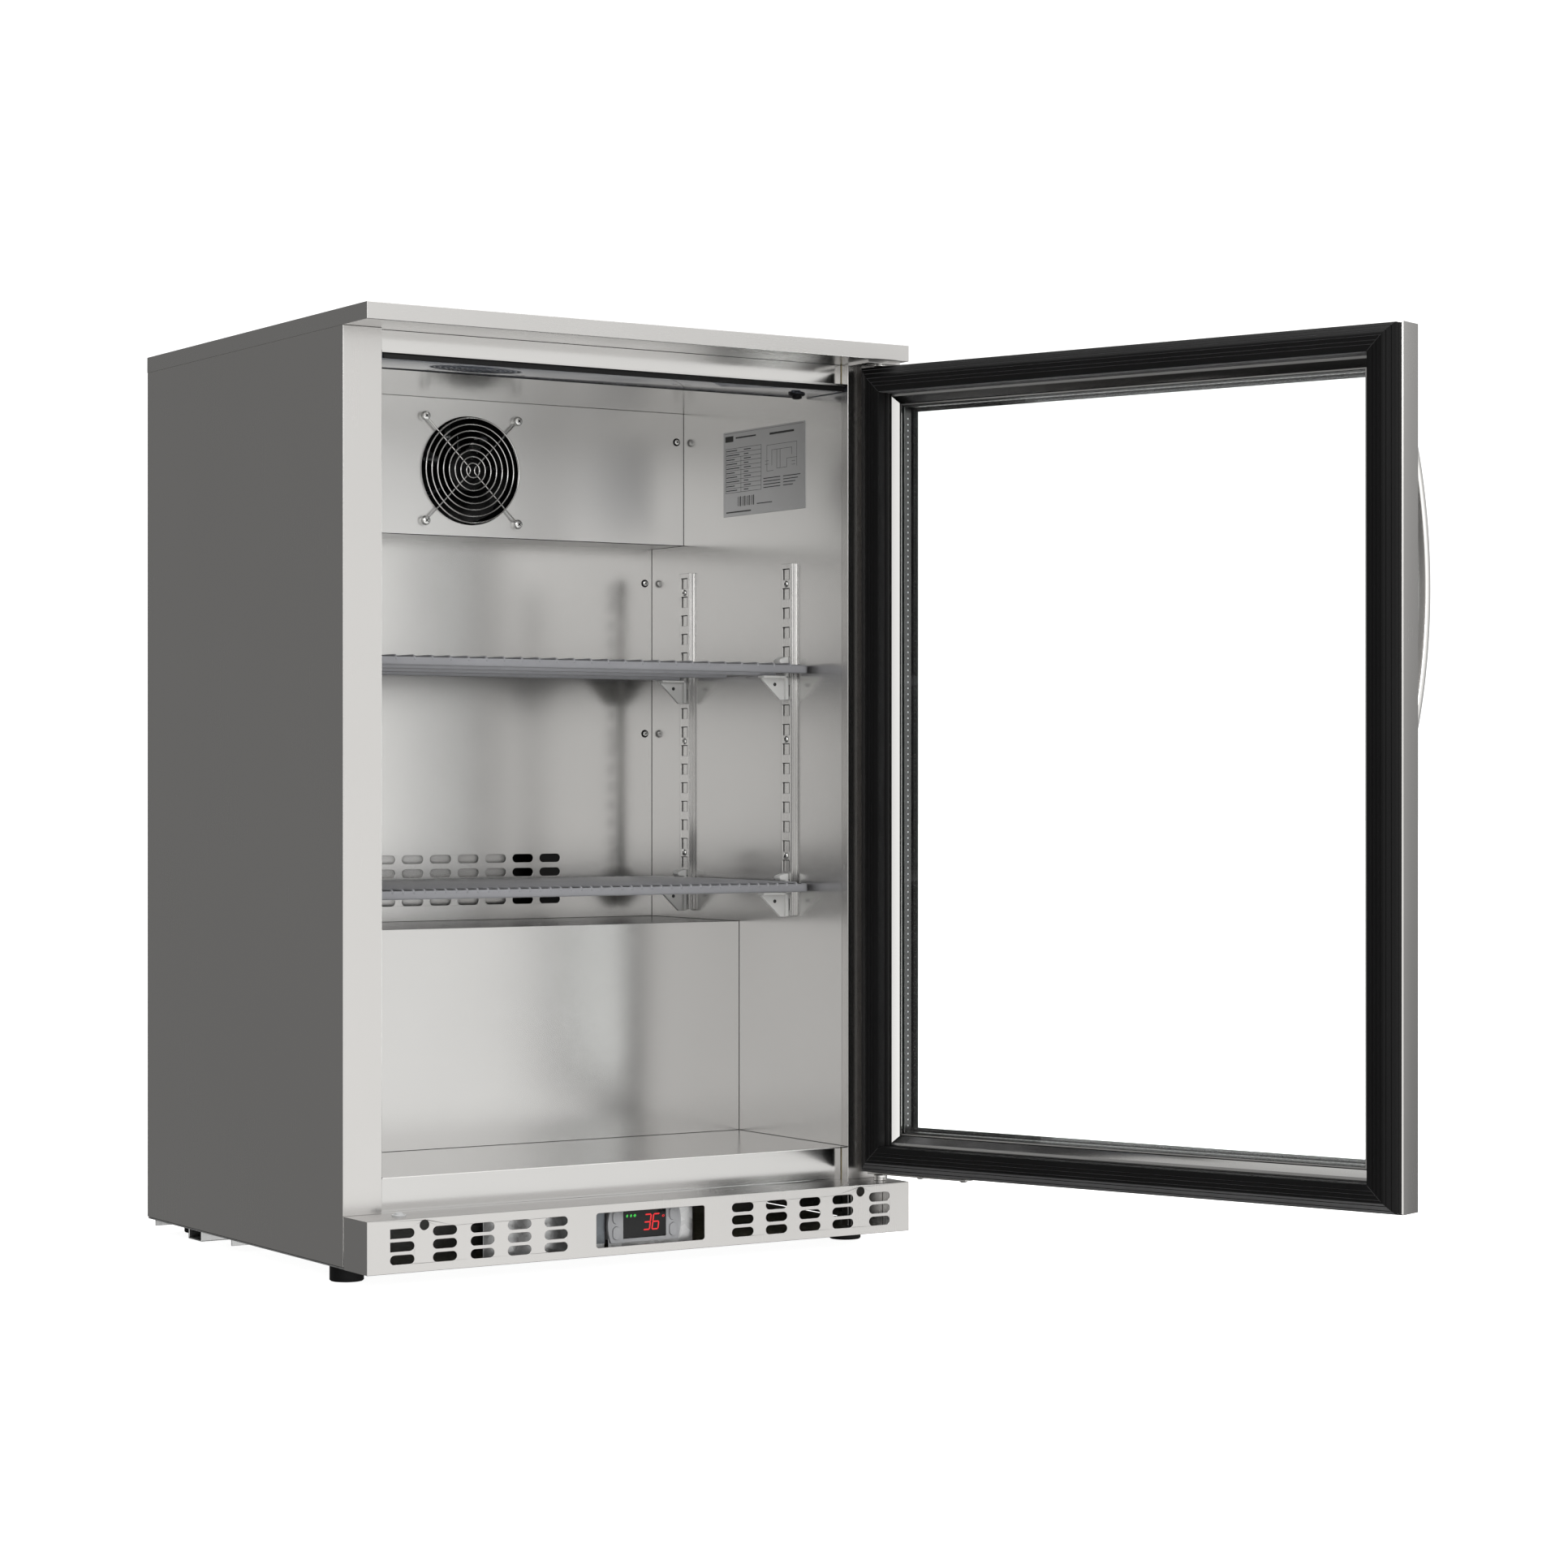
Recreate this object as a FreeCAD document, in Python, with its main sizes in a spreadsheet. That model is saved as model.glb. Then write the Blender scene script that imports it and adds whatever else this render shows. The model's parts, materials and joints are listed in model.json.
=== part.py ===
import FreeCAD, Part
import math
import os
import re
import Sketcher

# Undercounter (back-bar) refrigerator with one glass door.
# Frame: origin on the floor, in the middle of the cabinet; +X to the hinge side,
# -Y to the front, +Z up.  Lengths are in millimetres.
# The door is drawn closed and then swung to its open stop, which is the rest pose.

os.makedirs("parts", exist_ok=True)
doc = FreeCAD.newDocument("undercounter_refrigerator")
Vector = FreeCAD.Vector
Rotation = FreeCAD.Rotation

# --- driving dimensions -----------------------------------------------------------------

DIMENSIONS = {
    # whole cabinet
    "width": 600,
    "depth": 508,
    "height": 900,
    "foot_height": 15,
    "foot_radius": 16,
    "foot_inset_side": 20.5,
    "foot_inset_side_rear": 50,
    "foot_inset_front": 84,
    "foot_inset_rear": 20,
    "stud_radius": 4,
    "stud_length": 30,
    # sheet metal
    "sheet": 1,
    "base_sheet": 1.5,
    "worktop_thickness": 16,
    "worktop_return": 12,
    "overhang": 50,
    "stile_width": 40,
    "stile_return": 11,
    "side_lift": 2,
    "recess": 12,
    "plinth_height": 49,
    "plinth_depth": 48,
    "base_flange_half_length": 291.5,
    "base_flange_height": 8,
    "base_flange_front": 62,
    "base_flange_rear": 251,
    "rail_half_length": 288,
    "rail_y": 160.5,
    "rail_width": 32,
    "rail_height": 13,
    "rail_wall": 1.5,
    # compartment
    "floor_top": 97,
    "floor_insulation": 39,
    "ceiling_height": 861.5,
    "ceiling_sheet": 2,
    "step_face": 0.5,
    "step_top": 317,
    "step_insulation": 35,
    "duct_face": 180,
    "liner_back": 214,
    "cover_face": 113,
    "cover_bottom": 719,
    "panel_slot_length": 25,
    "panel_slot_height": 8.8,
    "panel_slot_pitch": 33,
    "panel_slot_rise": 14.8,
    "panel_slot_lowest": 337.6,
    # shelves and their supports
    "pilaster_depth": 5.2,
    "pilaster_sheet": 1.2,
    "pilaster_width": 20,
    "pilaster_front": -98,
    "pilaster_rear": 103,
    "pilaster_low": 326.5,
    "pilaster_high": 688.5,
    "pilaster_slot_width": 14,
    "pilaster_slot_height": 11.6,
    "pilaster_slot_pitch": 20,
    "shelf_front": -141,
    "shelf_rear": 150,
    "shelf_band": 10.6,
    "shelf_band_thickness": 4,
    "shelf_half_width": 258,
    "shelf_rail_half_width": 246.5,
    "wire_radius": 1.5,
    "upper_shelf_top": 585,
    "lower_shelf_top": 362.2,
    "upper_wire_pitch": 19.4,
    "lower_wire_pitch": 11.45,
    "clip_reach": 30.8,
    "clip_drop": 25,
    "clip_rise": 7,
    "clip_width": 12,
    "lug_reach": 12,
    # panel screws
    "panel_screw_x": 251,
    "cover_screw_height": 830.6,
    "screw_radius": 4.2,
    "screw_head": 2.2,
    # evaporator fan
    "fan_height": 787.7,
    "fan_opening_radius": 56.5,
    "fan_frame_half": 59.5,
    "fan_frame_depth": 38,
    "fan_hub_radius": 22,
    "fan_motor_length": 8,
    "fan_strut": 4,
    "guard_screw_offset": 54,
    "guard_wire_radius": 1.1,
    "guard_first_ring": 7.6,
    "guard_ring_pitch": 6.7,
    "guard_gap": 6,
    # lamp
    "lamp_thickness": 5,
    "lamp_depth": 77,
    "switch_x": 232,
    "switch_y": -153,
    "switch_radius": 5,
    "switch_drop": 5,
    # plinth grille and controller
    "grille_slot_length": 24.6,
    "grille_slot_height": 8.5,
    "grille_slot_rise": 12,
    "grille_slot_lowest": 27.2,
    "grille_hole_x": 241.6,
    "grille_hole_height": 57.6,
    "grille_hole_radius": 4.8,
    "window_half_width": 60,
    "window_low": 23.1,
    "window_high": 55.8,
    "window_corner": 2.5,
    "controller_height": 41.6,
    "controller_half_width": 40.5,
    "bezel_half_height": 17,
    "bezel_thickness": 3,
    "bezel_lip": 3,
    "case_half_height": 14,
    "case_depth": 28,
    "upstand_reach": 15,
    "shield_reach": 172,
    "shield_setback": 5,
    "display_half_width": 23.8,
    "display_half_height": 13.5,
    "button_width": 8,
    "button_length": 12,
    "button_offset": 31.5,
    "button_rise": 7.5,
    "button_gap": 0.25,
    "button_stand": 1.2,
    # door
    "hinge_x": 284.5,
    "plug_x": 254,
    "hinge_y": -226.5,
    "hinge_overhang": 15,
    "hinge_setback": 4,
    "door_width": 597,
    "door_thickness": 30.5,
    "door_low": 71.5,
    "door_high": 880.5,
    "door_open_angle": 110,
    "door_rail": 45,
    "gasket_height": 18,
    "glass_thickness": 4,
    "glass_inset": 33,
    "glass_depth": 5,
    "bevel_lip": 7,
    "spacer_depth": 12,
    "pin_radius": 2.5,
    "bush_radius": 3.5,
    "bush_length": 18,
    "washer_radius": 6.75,
    "handle_height": 642,
    "handle_half_chord": 184,
    "handle_reach": 51.8,
    "handle_width": 20,
    "handle_thickness": 9,
    "handle_inset": 22.5,
    # supply lead
    "gland_x": 240,
    "gland_height": 40,
    # clearances
    "running_clearance": 0.1,
}

sheet = doc.addObject("Spreadsheet::Sheet", "Sizes")
for row, (alias, value) in enumerate(DIMENSIONS.items(), start=1):
    sheet.set(f"A{row}", alias.replace("_", " "))
    sheet.set(f"B{row}", str(value))
    sheet.setAlias(f"B{row}", alias)
doc.recompute()


def dimension(alias):
    """The number in one cell of the sheet."""
    return float(sheet.get(alias))


# Places that many pieces share, as expressions of the driving dimensions.
FRONT = "(-depth / 2)"
BACK = "(depth / 2)"
FACE = "(overhang - depth / 2)"
SIDE = "(width / 2)"
INNER = "(width / 2 - stile_width)"
BASE = "foot_height"
UNDER_TOP = "(height - worktop_thickness)"
CEILING_TOP = "(ceiling_height + ceiling_sheet)"
PLINTH_TOP = "(foot_height + plinth_height)"
RECESS = "(overhang - depth / 2 + recess)"
FLOOR_UNDER = "(floor_top - floor_insulation)"
OUTER_FACE = "(hinge_y + hinge_setback - door_thickness)"
INNER_FACE = "(hinge_y + hinge_setback)"
HINGE_EDGE = "(hinge_x + hinge_overhang)"
FREE_EDGE = "(hinge_x + hinge_overhang - door_width)"
BEZEL_FRONT = "(-depth / 2 + recess)"

# --- building helpers -------------------------------------------------------------------

ALIAS = re.compile(r"\b(" + "|".join(sorted(DIMENSIONS, key=len, reverse=True)) + r")\b")
LIE = {
    "X": Rotation(Vector(0, 1, 0), 90),
    "Y": Rotation(Vector(1, 0, 0), -90),
    "Z": Rotation(),
}
subparts = []


def bind(thing, prop, expression):
    """Ties one property to an expression of the sheet's aliases."""
    thing.setExpression(prop, ALIAS.sub(r"Sizes.\1", str(expression)))


def place(thing, spot, lie="Z"):
    """Stands a piece at a spot of three expressions, with its own Z along an axis."""
    thing.Placement = FreeCAD.Placement(Vector(), LIE[lie])
    for axis, expression in zip("xyz", spot):
        bind(thing, f".Placement.Base.{axis}", expression)
    return thing


def block(name, x, y, z):
    """A box between a low and a high expression along each axis."""
    box = doc.addObject("Part::Box", name)
    place(box, (x[0], y[0], z[0]))
    for side, (low, high) in zip(("Length", "Width", "Height"), (x, y, z)):
        bind(box, side, f"({high}) - ({low})")
    return box


def between(middle, half):
    """The two ends of a span, as expressions, from its middle and its half length."""
    return (f"({middle}) - ({half})", f"({middle}) + ({half})")


def rod(name, axis, spot, radius, length):
    """A round bar that starts at spot and runs along +axis."""
    bar = doc.addObject("Part::Cylinder", name)
    place(bar, spot, axis)
    bind(bar, "Radius", radius)
    bind(bar, "Height", length)
    return bar


def ring(name, axis, spot, radius, wire):
    """A round wire hoop about an axis."""
    hoop = doc.addObject("Part::Torus", name)
    place(hoop, spot, axis)
    bind(hoop, "Radius1", radius)
    bind(hoop, "Radius2", wire)
    return hoop


def fused(name, shapes):
    """One solid from overlapping shapes."""
    union = doc.addObject("Part::MultiFuse", name)
    union.Shapes = shapes
    union.Refine = True
    return union


def grouped(name, shapes):
    """Several separate solids in one piece."""
    group = doc.addObject("Part::Compound", name)
    group.Links = shapes
    return group


def cut(name, base, tools):
    """A base shape with one or more tools taken out of it."""
    rest = doc.addObject("Part::Cut", name)
    rest.Base = base
    rest.Tool = tools[0] if len(tools) == 1 else fused(name + "_tools", tools)
    return rest


def common(name, first, second):
    """What two shapes share."""
    shared = doc.addObject("Part::Common", name)
    shared.Base = first
    shared.Tool = second
    return shared


def extruded(name, plane, points, low, high):
    """A body padded from a closed outline of expression pairs, between low and high."""
    body = doc.addObject("PartDesign::Body", name)
    sketch = body.newObject("Sketcher::SketchObject", name + "_outline")
    origin_plane = next(p for p in body.Origin.OriginFeatures if p.Role == plane + "_Plane")
    sketch.AttachmentSupport = (origin_plane, [""])
    sketch.MapMode = "FlatFace"
    count = len(points)
    corners = [Vector(math.cos(2 * math.pi * i / count), math.sin(2 * math.pi * i / count), 0)
               for i in range(count)]
    for i in range(count):
        sketch.addGeometry(Part.LineSegment(corners[i], corners[(i + 1) % count]))
    for i in range(count):
        sketch.addConstraint(Sketcher.Constraint("Coincident", i, 2, (i + 1) % count, 1))
    for i, pair in enumerate(points):
        for direction, start, expression in zip(("DistanceX", "DistanceY"), corners[i], pair):
            index = sketch.addConstraint(Sketcher.Constraint(direction, -1, 1, i, 1, start))
            bind(sketch, f"Constraints[{index}]", expression)
    pad = body.newObject("PartDesign::Pad", name + "_pad")
    pad.Profile = sketch
    bind(pad, "Length", f"({high}) - ({low})")
    body.Tip = pad
    starts = {"XY": ("0", "0", low), "XZ": ("0", high, "0"), "YZ": (low, "0", "0")}
    return place(body, starts[plane])


def turned(name, points, spot):
    """A body revolved about its own vertical axis from (radius, height) expressions."""
    body = doc.addObject("PartDesign::Body", name)
    sketch = body.newObject("Sketcher::SketchObject", name + "_profile")
    origin_plane = next(p for p in body.Origin.OriginFeatures if p.Role == "XZ_Plane")
    sketch.AttachmentSupport = (origin_plane, [""])
    sketch.MapMode = "FlatFace"
    count = len(points)
    corners = [Vector(2 + math.cos(2 * math.pi * i / count), math.sin(2 * math.pi * i / count), 0)
               for i in range(count)]
    for i in range(count):
        sketch.addGeometry(Part.LineSegment(corners[i], corners[(i + 1) % count]))
    for i in range(count):
        sketch.addConstraint(Sketcher.Constraint("Coincident", i, 2, (i + 1) % count, 1))
    for i, pair in enumerate(points):
        for direction, start, expression in zip(("DistanceX", "DistanceY"), corners[i], pair):
            index = sketch.addConstraint(Sketcher.Constraint(direction, -1, 1, i, 1, start))
            bind(sketch, f"Constraints[{index}]", expression)
    revolution = body.newObject("PartDesign::Revolution", name + "_turning")
    revolution.Profile = sketch
    revolution.ReferenceAxis = (sketch, ["V_Axis"])
    revolution.Angle = 360
    body.Tip = revolution
    return place(body, spot)


def slot(name, spot, length, height, through, upright=False):
    """A bar with full-round ends that runs along Y from spot, long along X or, upright, along Z."""
    x, y, z = spot
    half = f"(({length}) / 2 - ({height}) / 2)"
    radius = f"({height}) / 2"
    spans = [(f"{x} - {half}", f"{x} + {half}"), (f"{z} - {radius}", f"{z} + {radius}")]
    centres = [(f"{x} {sign} {half}", y, z) for sign in "-+"]
    if upright:
        spans = [(f"{x} - {radius}", f"{x} + {radius}"), (f"{z} - {half}", f"{z} + {half}")]
        centres = [(x, y, f"{z} {sign} {half}") for sign in "-+"]
    middle = block(name + "_middle", spans[0], (y, f"{y} + {through}"), spans[1])
    ends = [rod(f"{name}_end_{i}", "Y", centre, radius, through) for i, centre in enumerate(centres)]
    return fused(name, [middle] + ends)


def rounded_bar(name, x, z, start, through, corner):
    """A bar with rounded corners that runs along Y from start."""
    y = (start, f"{start} + {through}")
    pieces = [
        block(name + "_wide", x, y, (f"{z[0]} + {corner}", f"{z[1]} - {corner}")),
        block(name + "_tall", (f"{x[0]} + {corner}", f"{x[1]} - {corner}"), y, z),
    ]
    for i, (across, up) in enumerate(((0, 0), (0, 1), (1, 0), (1, 1))):
        spot = (f"{x[across]} {'+-'[across]} {corner}", start, f"{z[up]} {'+-'[up]} {corner}")
        pieces.append(rod(f"{name}_corner_{i}", "Y", spot, corner, through))
    return fused(name, pieces)


def keep(shape, label):
    """Registers a finished sub-part under the name of its file."""
    shape.Label = label
    subparts.append(shape)
    return shape


# --- cabinet shell ----------------------------------------------------------------------

def worktop():
    """A folded pan with a narrow return under its edges, and the board that stiffens it."""
    pan = block("worktop_pan", (f"-{SIDE}", SIDE), (FRONT, BACK), (UNDER_TOP, "height"))
    hollow = block(
        "worktop_hollow",
        (f"sheet - {SIDE}", f"{SIDE} - sheet"),
        (f"{FRONT} + sheet", f"{BACK} - sheet"),
        (f"{UNDER_TOP} + sheet", "height - sheet"),
    )
    opening = block(
        "worktop_underside",
        (f"worktop_return - {SIDE}", f"{SIDE} - worktop_return"),
        (f"{RECESS} + 2 * sheet", f"{BACK} - worktop_return"),
        (UNDER_TOP, f"{UNDER_TOP} + 2 * sheet"),
    )
    keep(cut("worktop_sheet", pan, [hollow, opening]), "worktop")
    core = block(
        "worktop_board",
        (f"sheet - {SIDE}", f"{SIDE} - sheet"),
        (f"{FRONT} + sheet", f"{BACK} - sheet"),
        (f"{UNDER_TOP} + sheet", "height - sheet"),
    )
    keep(core, "worktop_core")


def side_panels():
    """Each side is one folded sheet: the flank, the front stile and the stile's short return."""
    for label, sign in (("left_side_panel", "-"), ("right_side_panel", "")):
        def across(distance):
            return f"{sign}({distance})"

        points = [
            (across(SIDE), FACE),
            (across(INNER), FACE),
            (across(INNER), f"{FACE} + stile_return"),
            (across(f"{INNER} + sheet"), f"{FACE} + stile_return"),
            (across(f"{INNER} + sheet"), f"{FACE} + sheet"),
            (across(f"{SIDE} - sheet"), f"{FACE} + sheet"),
            (across(f"{SIDE} - sheet"), f"{BACK} - sheet"),
            (across(SIDE), f"{BACK} - sheet"),
        ]
        panel = extruded(label + "_body", "XY", points, f"{BASE} + side_lift", UNDER_TOP)
        keep(panel, label)


def rear_panel_and_grille():
    """The back: a plain sheet above, and a screwed-on ventilated sheet over the machinery."""
    inside = (f"sheet - {SIDE}", f"{SIDE} - sheet")
    thickness = (f"{BACK} - sheet", BACK)
    split = "step_top - step_insulation"
    keep(block("rear_sheet", inside, thickness, (split, UNDER_TOP)), "rear_panel")
    grille = block("rear_grille_sheet", inside, thickness, (f"{BASE} + side_lift", f"{split} - 1"))
    louvre_half = 34
    slots = [
        block(
            f"rear_louvre_{column}_{row}",
            (f"{x} - {louvre_half}", f"{x} + {louvre_half}"),
            (f"{BACK} - 2 * sheet", f"{BACK} + sheet"),
            (f"{60 + 18 * row}", f"{67 + 18 * row}"),
        )
        for column, x in enumerate((-200, -100, 0, 100, 200))
        for row in range(10)
    ]
    spot = ("gland_x", f"{BACK} - 2 * sheet", "gland_height")
    gland_hole = rod("rear_gland_hole", "Y", spot, "8 + running_clearance", "3 * sheet")
    keep(cut("rear_grille_cut", grille, slots + [gland_hole]), "rear_grille")


def base_pan():
    """The floor of the machine space, with threaded collars for the feet and two stiffening flanges."""
    pan = block(
        "base_sheet_metal",
        (f"sheet - {SIDE}", f"{SIDE} - sheet"),
        (f"{FRONT} + 2 * sheet", f"{BACK} - sheet"),
        (BASE, f"{BASE} + base_sheet"),
    )
    flanges = [
        block(
            f"base_flange_{i}",
            between("0", "base_flange_half_length"),
            (y, f"{y} + base_sheet"),
            (f"{BASE} - base_flange_height", f"{BASE} + base_sheet / 2"),
        )
        for i, y in enumerate(("base_flange_front", "base_flange_rear"))
    ]
    collars = []
    bores = []
    for name, x, y in foot_places():
        collars.append(rod(f"collar_{name}", "Z", (x, y, BASE), "2 * stud_radius", "12"))
        bore = "stud_radius + running_clearance / 2"
        bores.append(rod(f"collar_bore_{name}", "Z", (x, y, f"{BASE} - 1"), bore, "20"))
    body = fused("base_blank", [pan] + controller_upstands() + flanges + collars)
    keep(cut("base_cut", body, bores), "base_pan")


def controller_upstands():
    """The tongues of the base pan that are folded up to carry the controller and to shield its left."""
    top = f"{PLINTH_TOP} - 2 * sheet"
    plate = block(
        "upstand_blank",
        ("2 - controller_half_width", "controller_half_width + upstand_reach"),
        (f"{BEZEL_FRONT} + bezel_thickness", f"{BEZEL_FRONT} + bezel_thickness + sheet"),
        (BASE, top),
    )
    cut_out = block(
        "upstand_cut_out",
        ("bezel_lip - controller_half_width", "controller_half_width - bezel_lip"),
        (f"{BEZEL_FRONT} + bezel_thickness - sheet", f"{BEZEL_FRONT} + bezel_thickness + 2 * sheet"),
        ("controller_height - case_half_height", "controller_height + case_half_height"),
    )
    shield = block(
        "upstand_shield",
        ("-shield_reach", "-controller_half_width - 1"),
        (f"{BEZEL_FRONT} + shield_setback", f"{BEZEL_FRONT} + shield_setback + sheet"),
        (BASE, top),
    )
    return [cut("upstand", plate, [cut_out]), shield]


def cross_rail():
    """A square tube that stiffens the base from side to side."""
    middle = f"({BASE} - rail_height / 2)"
    tube = block(
        "rail_outside",
        between("0", "rail_half_length"),
        between("rail_y", "rail_width / 2"),
        between(middle, "rail_height / 2"),
    )
    bore = block(
        "rail_inside",
        between("0", "rail_half_length + 1"),
        between("rail_y", "rail_width / 2 - rail_wall"),
        between(middle, "rail_height / 2 - rail_wall"),
    )
    keep(cut("rail_tube", tube, [bore]), "base_cross_rail")


def insulation():
    """Foam slabs that fill the walls, the ceiling, the floor and the step over the compressor."""
    between = (f"-{INNER} - sheet", f"{INNER} + sheet")
    inside = (f"-{INNER}", INNER)
    slabs = {
        "foam_left": (
            (f"sheet - {SIDE}", f"-{INNER} - sheet"),
            (f"{FACE} + sheet", f"{BACK} - sheet"),
            (FLOOR_UNDER, UNDER_TOP),
        ),
        "foam_right": (
            (f"{INNER} + sheet", f"{SIDE} - sheet"),
            (f"{FACE} + sheet", f"{BACK} - sheet"),
            (FLOOR_UNDER, UNDER_TOP),
        ),
        "foam_back": (
            between,
            ("liner_back + sheet", f"{BACK} - sheet"),
            ("step_top - step_insulation", UNDER_TOP),
        ),
        "foam_top": (
            between,
            (f"{RECESS} + sheet", "liner_back + sheet"),
            (CEILING_TOP, UNDER_TOP),
        ),
        "foam_floor": (
            between,
            (f"{RECESS} + 2 * sheet", "step_face + sheet"),
            (FLOOR_UNDER, "floor_top - sheet"),
        ),
        "foam_step_front": (
            inside,
            ("step_face + sheet", "step_face + sheet + step_insulation"),
            (FLOOR_UNDER, "step_top - sheet"),
        ),
        "foam_step_top": (
            inside,
            ("step_face + sheet + step_insulation", "liner_back + sheet"),
            ("step_top - step_insulation", "step_top - sheet"),
        ),
    }
    keep(grouped("foam", [block(name, *spans) for name, spans in slabs.items()]), "insulation_foam")


def liner():
    """The bright inner skin: side walls, ceiling, floor, step and back wall."""
    inside = (f"-{INNER}", INNER)
    wall_depth = (f"{RECESS} + sheet", "liner_back")
    wall_height = ("floor_top - sheet", CEILING_TOP)
    left = (f"-{INNER} - sheet", f"-{INNER}")
    right = (INNER, f"{INNER} + sheet")
    walls = [
        block("wall_left", left, wall_depth, wall_height),
        block("wall_right", right, wall_depth, wall_height),
        block(
            "wall_back",
            (f"-{INNER} - sheet", f"{INNER} + sheet"),
            ("liner_back", "liner_back + sheet"),
            ("step_top - sheet", CEILING_TOP),
        ),
    ]
    keep(grouped("walls", walls), "liner_walls")
    ceiling = block("ceiling", inside, (FACE, "liner_back"), ("ceiling_height", CEILING_TOP))
    keep(ceiling, "liner_ceiling")
    floor = block("floor", inside, (FACE, "step_face"), ("floor_top - sheet", "floor_top"))
    keep(floor, "liner_floor")
    step = [
        ("step_face", "floor_top - sheet"),
        ("step_face", "step_top"),
        ("liner_back", "step_top"),
        ("liner_back", "step_top - sheet"),
        ("step_face + sheet", "step_top - sheet"),
        ("step_face + sheet", "floor_top - sheet"),
    ]
    keep(extruded("step", "YZ", step, f"-{INNER}", INNER), "liner_step")


def front_frame():
    """Recessed header and sill, and the plastic strips that part the stiles from the liner."""
    inside = (f"-{INNER}", INNER)
    header = block("header", inside, (RECESS, f"{RECESS} + sheet"), (CEILING_TOP, UNDER_TOP))
    keep(header, "header_rail")
    plinth_back = f"{FRONT} + plinth_depth"
    sill = [
        (plinth_back, f"{PLINTH_TOP} - sheet"),
        (plinth_back, PLINTH_TOP),
        (RECESS, PLINTH_TOP),
        (RECESS, "floor_top - sheet"),
        (f"{RECESS} + sheet", "floor_top - sheet"),
        (f"{RECESS} + sheet", f"{PLINTH_TOP} - sheet"),
    ]
    keep(extruded("sill", "YZ", sill, f"-{INNER}", INNER), "sill_rail")
    strips = [
        block(
            f"breaker_{side}",
            span,
            (f"{FACE} + stile_return", f"{RECESS} + sheet"),
            ("floor_top", "ceiling_height"),
        )
        for side, span in (
            ("left", (f"-{INNER} - sheet", f"-{INNER}")),
            ("right", (INNER, f"{INNER} + sheet")),
        )
    ]
    keep(grouped("breakers", strips), "breaker_strips")


def plinth_grille():
    """The projecting front plinth: three rows of air slots each side and the controller's window."""
    shell = block(
        "plinth_outside",
        (f"-{SIDE}", SIDE),
        (FRONT, f"{FRONT} + plinth_depth"),
        (BASE, PLINTH_TOP),
    )
    tools = [
        block(
            "plinth_inside",
            (f"sheet - {SIDE}", f"{SIDE} - sheet"),
            (f"{FRONT} + sheet", f"{FRONT} + plinth_depth + sheet"),
            (f"{BASE} - sheet", f"{PLINTH_TOP} - sheet"),
        ),
    ]
    start = f"{FRONT} - sheet"
    through = "3 * sheet"
    window = ("-window_half_width", "window_half_width"), ("window_low", "window_high")
    tools.append(rounded_bar("plinth_window", *window, start, through, "window_corner"))
    columns = (103.5, 142.5, 181.5, 220.5, 264.3)
    for row in (1, 2):
        z = f"(grille_slot_lowest + {row} * grille_slot_rise)"
        tools.append(
            block(
                f"plinth_squared_end_{row}",
                (f"-{columns[-1]} - grille_slot_length / 2", f"-{columns[-1]}"),
                (start, f"{start} + {through}"),
                between(z, "grille_slot_height / 2"),
            )
        )
    for sign in ("-", ""):
        for column, x in enumerate(columns):
            for row in range(3):
                name = f"plinth_slot_{'left' if sign else 'right'}_{column}_{row}"
                spot = (f"{sign}{x}", start, f"(grille_slot_lowest + {row} * grille_slot_rise)")
                size = ("grille_slot_length", "grille_slot_height")
                tools.append(slot(name, spot, *size, through))
        hole = f"plinth_hole_{'left' if sign else 'right'}"
        spot = (f"{sign}grille_hole_x", start, "grille_hole_height")
        tools.append(rod(hole, "Y", spot, "grille_hole_radius", through))
    for sign in ("-", ""):
        pin_hole = f"plinth_pin_hole_{'left' if sign else 'right'}"
        spot = ("-plug_x" if sign else "hinge_x", "hinge_y", f"{PLINTH_TOP} - 2 * sheet")
        tools.append(rod(pin_hole, "Z", spot, "pin_radius + 0.6", "3 * sheet"))
    keep(cut("plinth_cut", shell, tools), "plinth_grille")
    plug = [
        ("0", "-3"),
        ("pin_radius", "-3"),
        ("pin_radius", "0"),
        ("washer_radius", "0"),
        ("washer_radius", "1.2"),
        ("washer_radius - 2", "3.2"),
        ("0", "3.2"),
    ]
    keep(turned("plug", plug, ("-plug_x", "hinge_y", PLINTH_TOP)), "hinge_hole_plug")


# --- controller -------------------------------------------------------------------------


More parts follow.
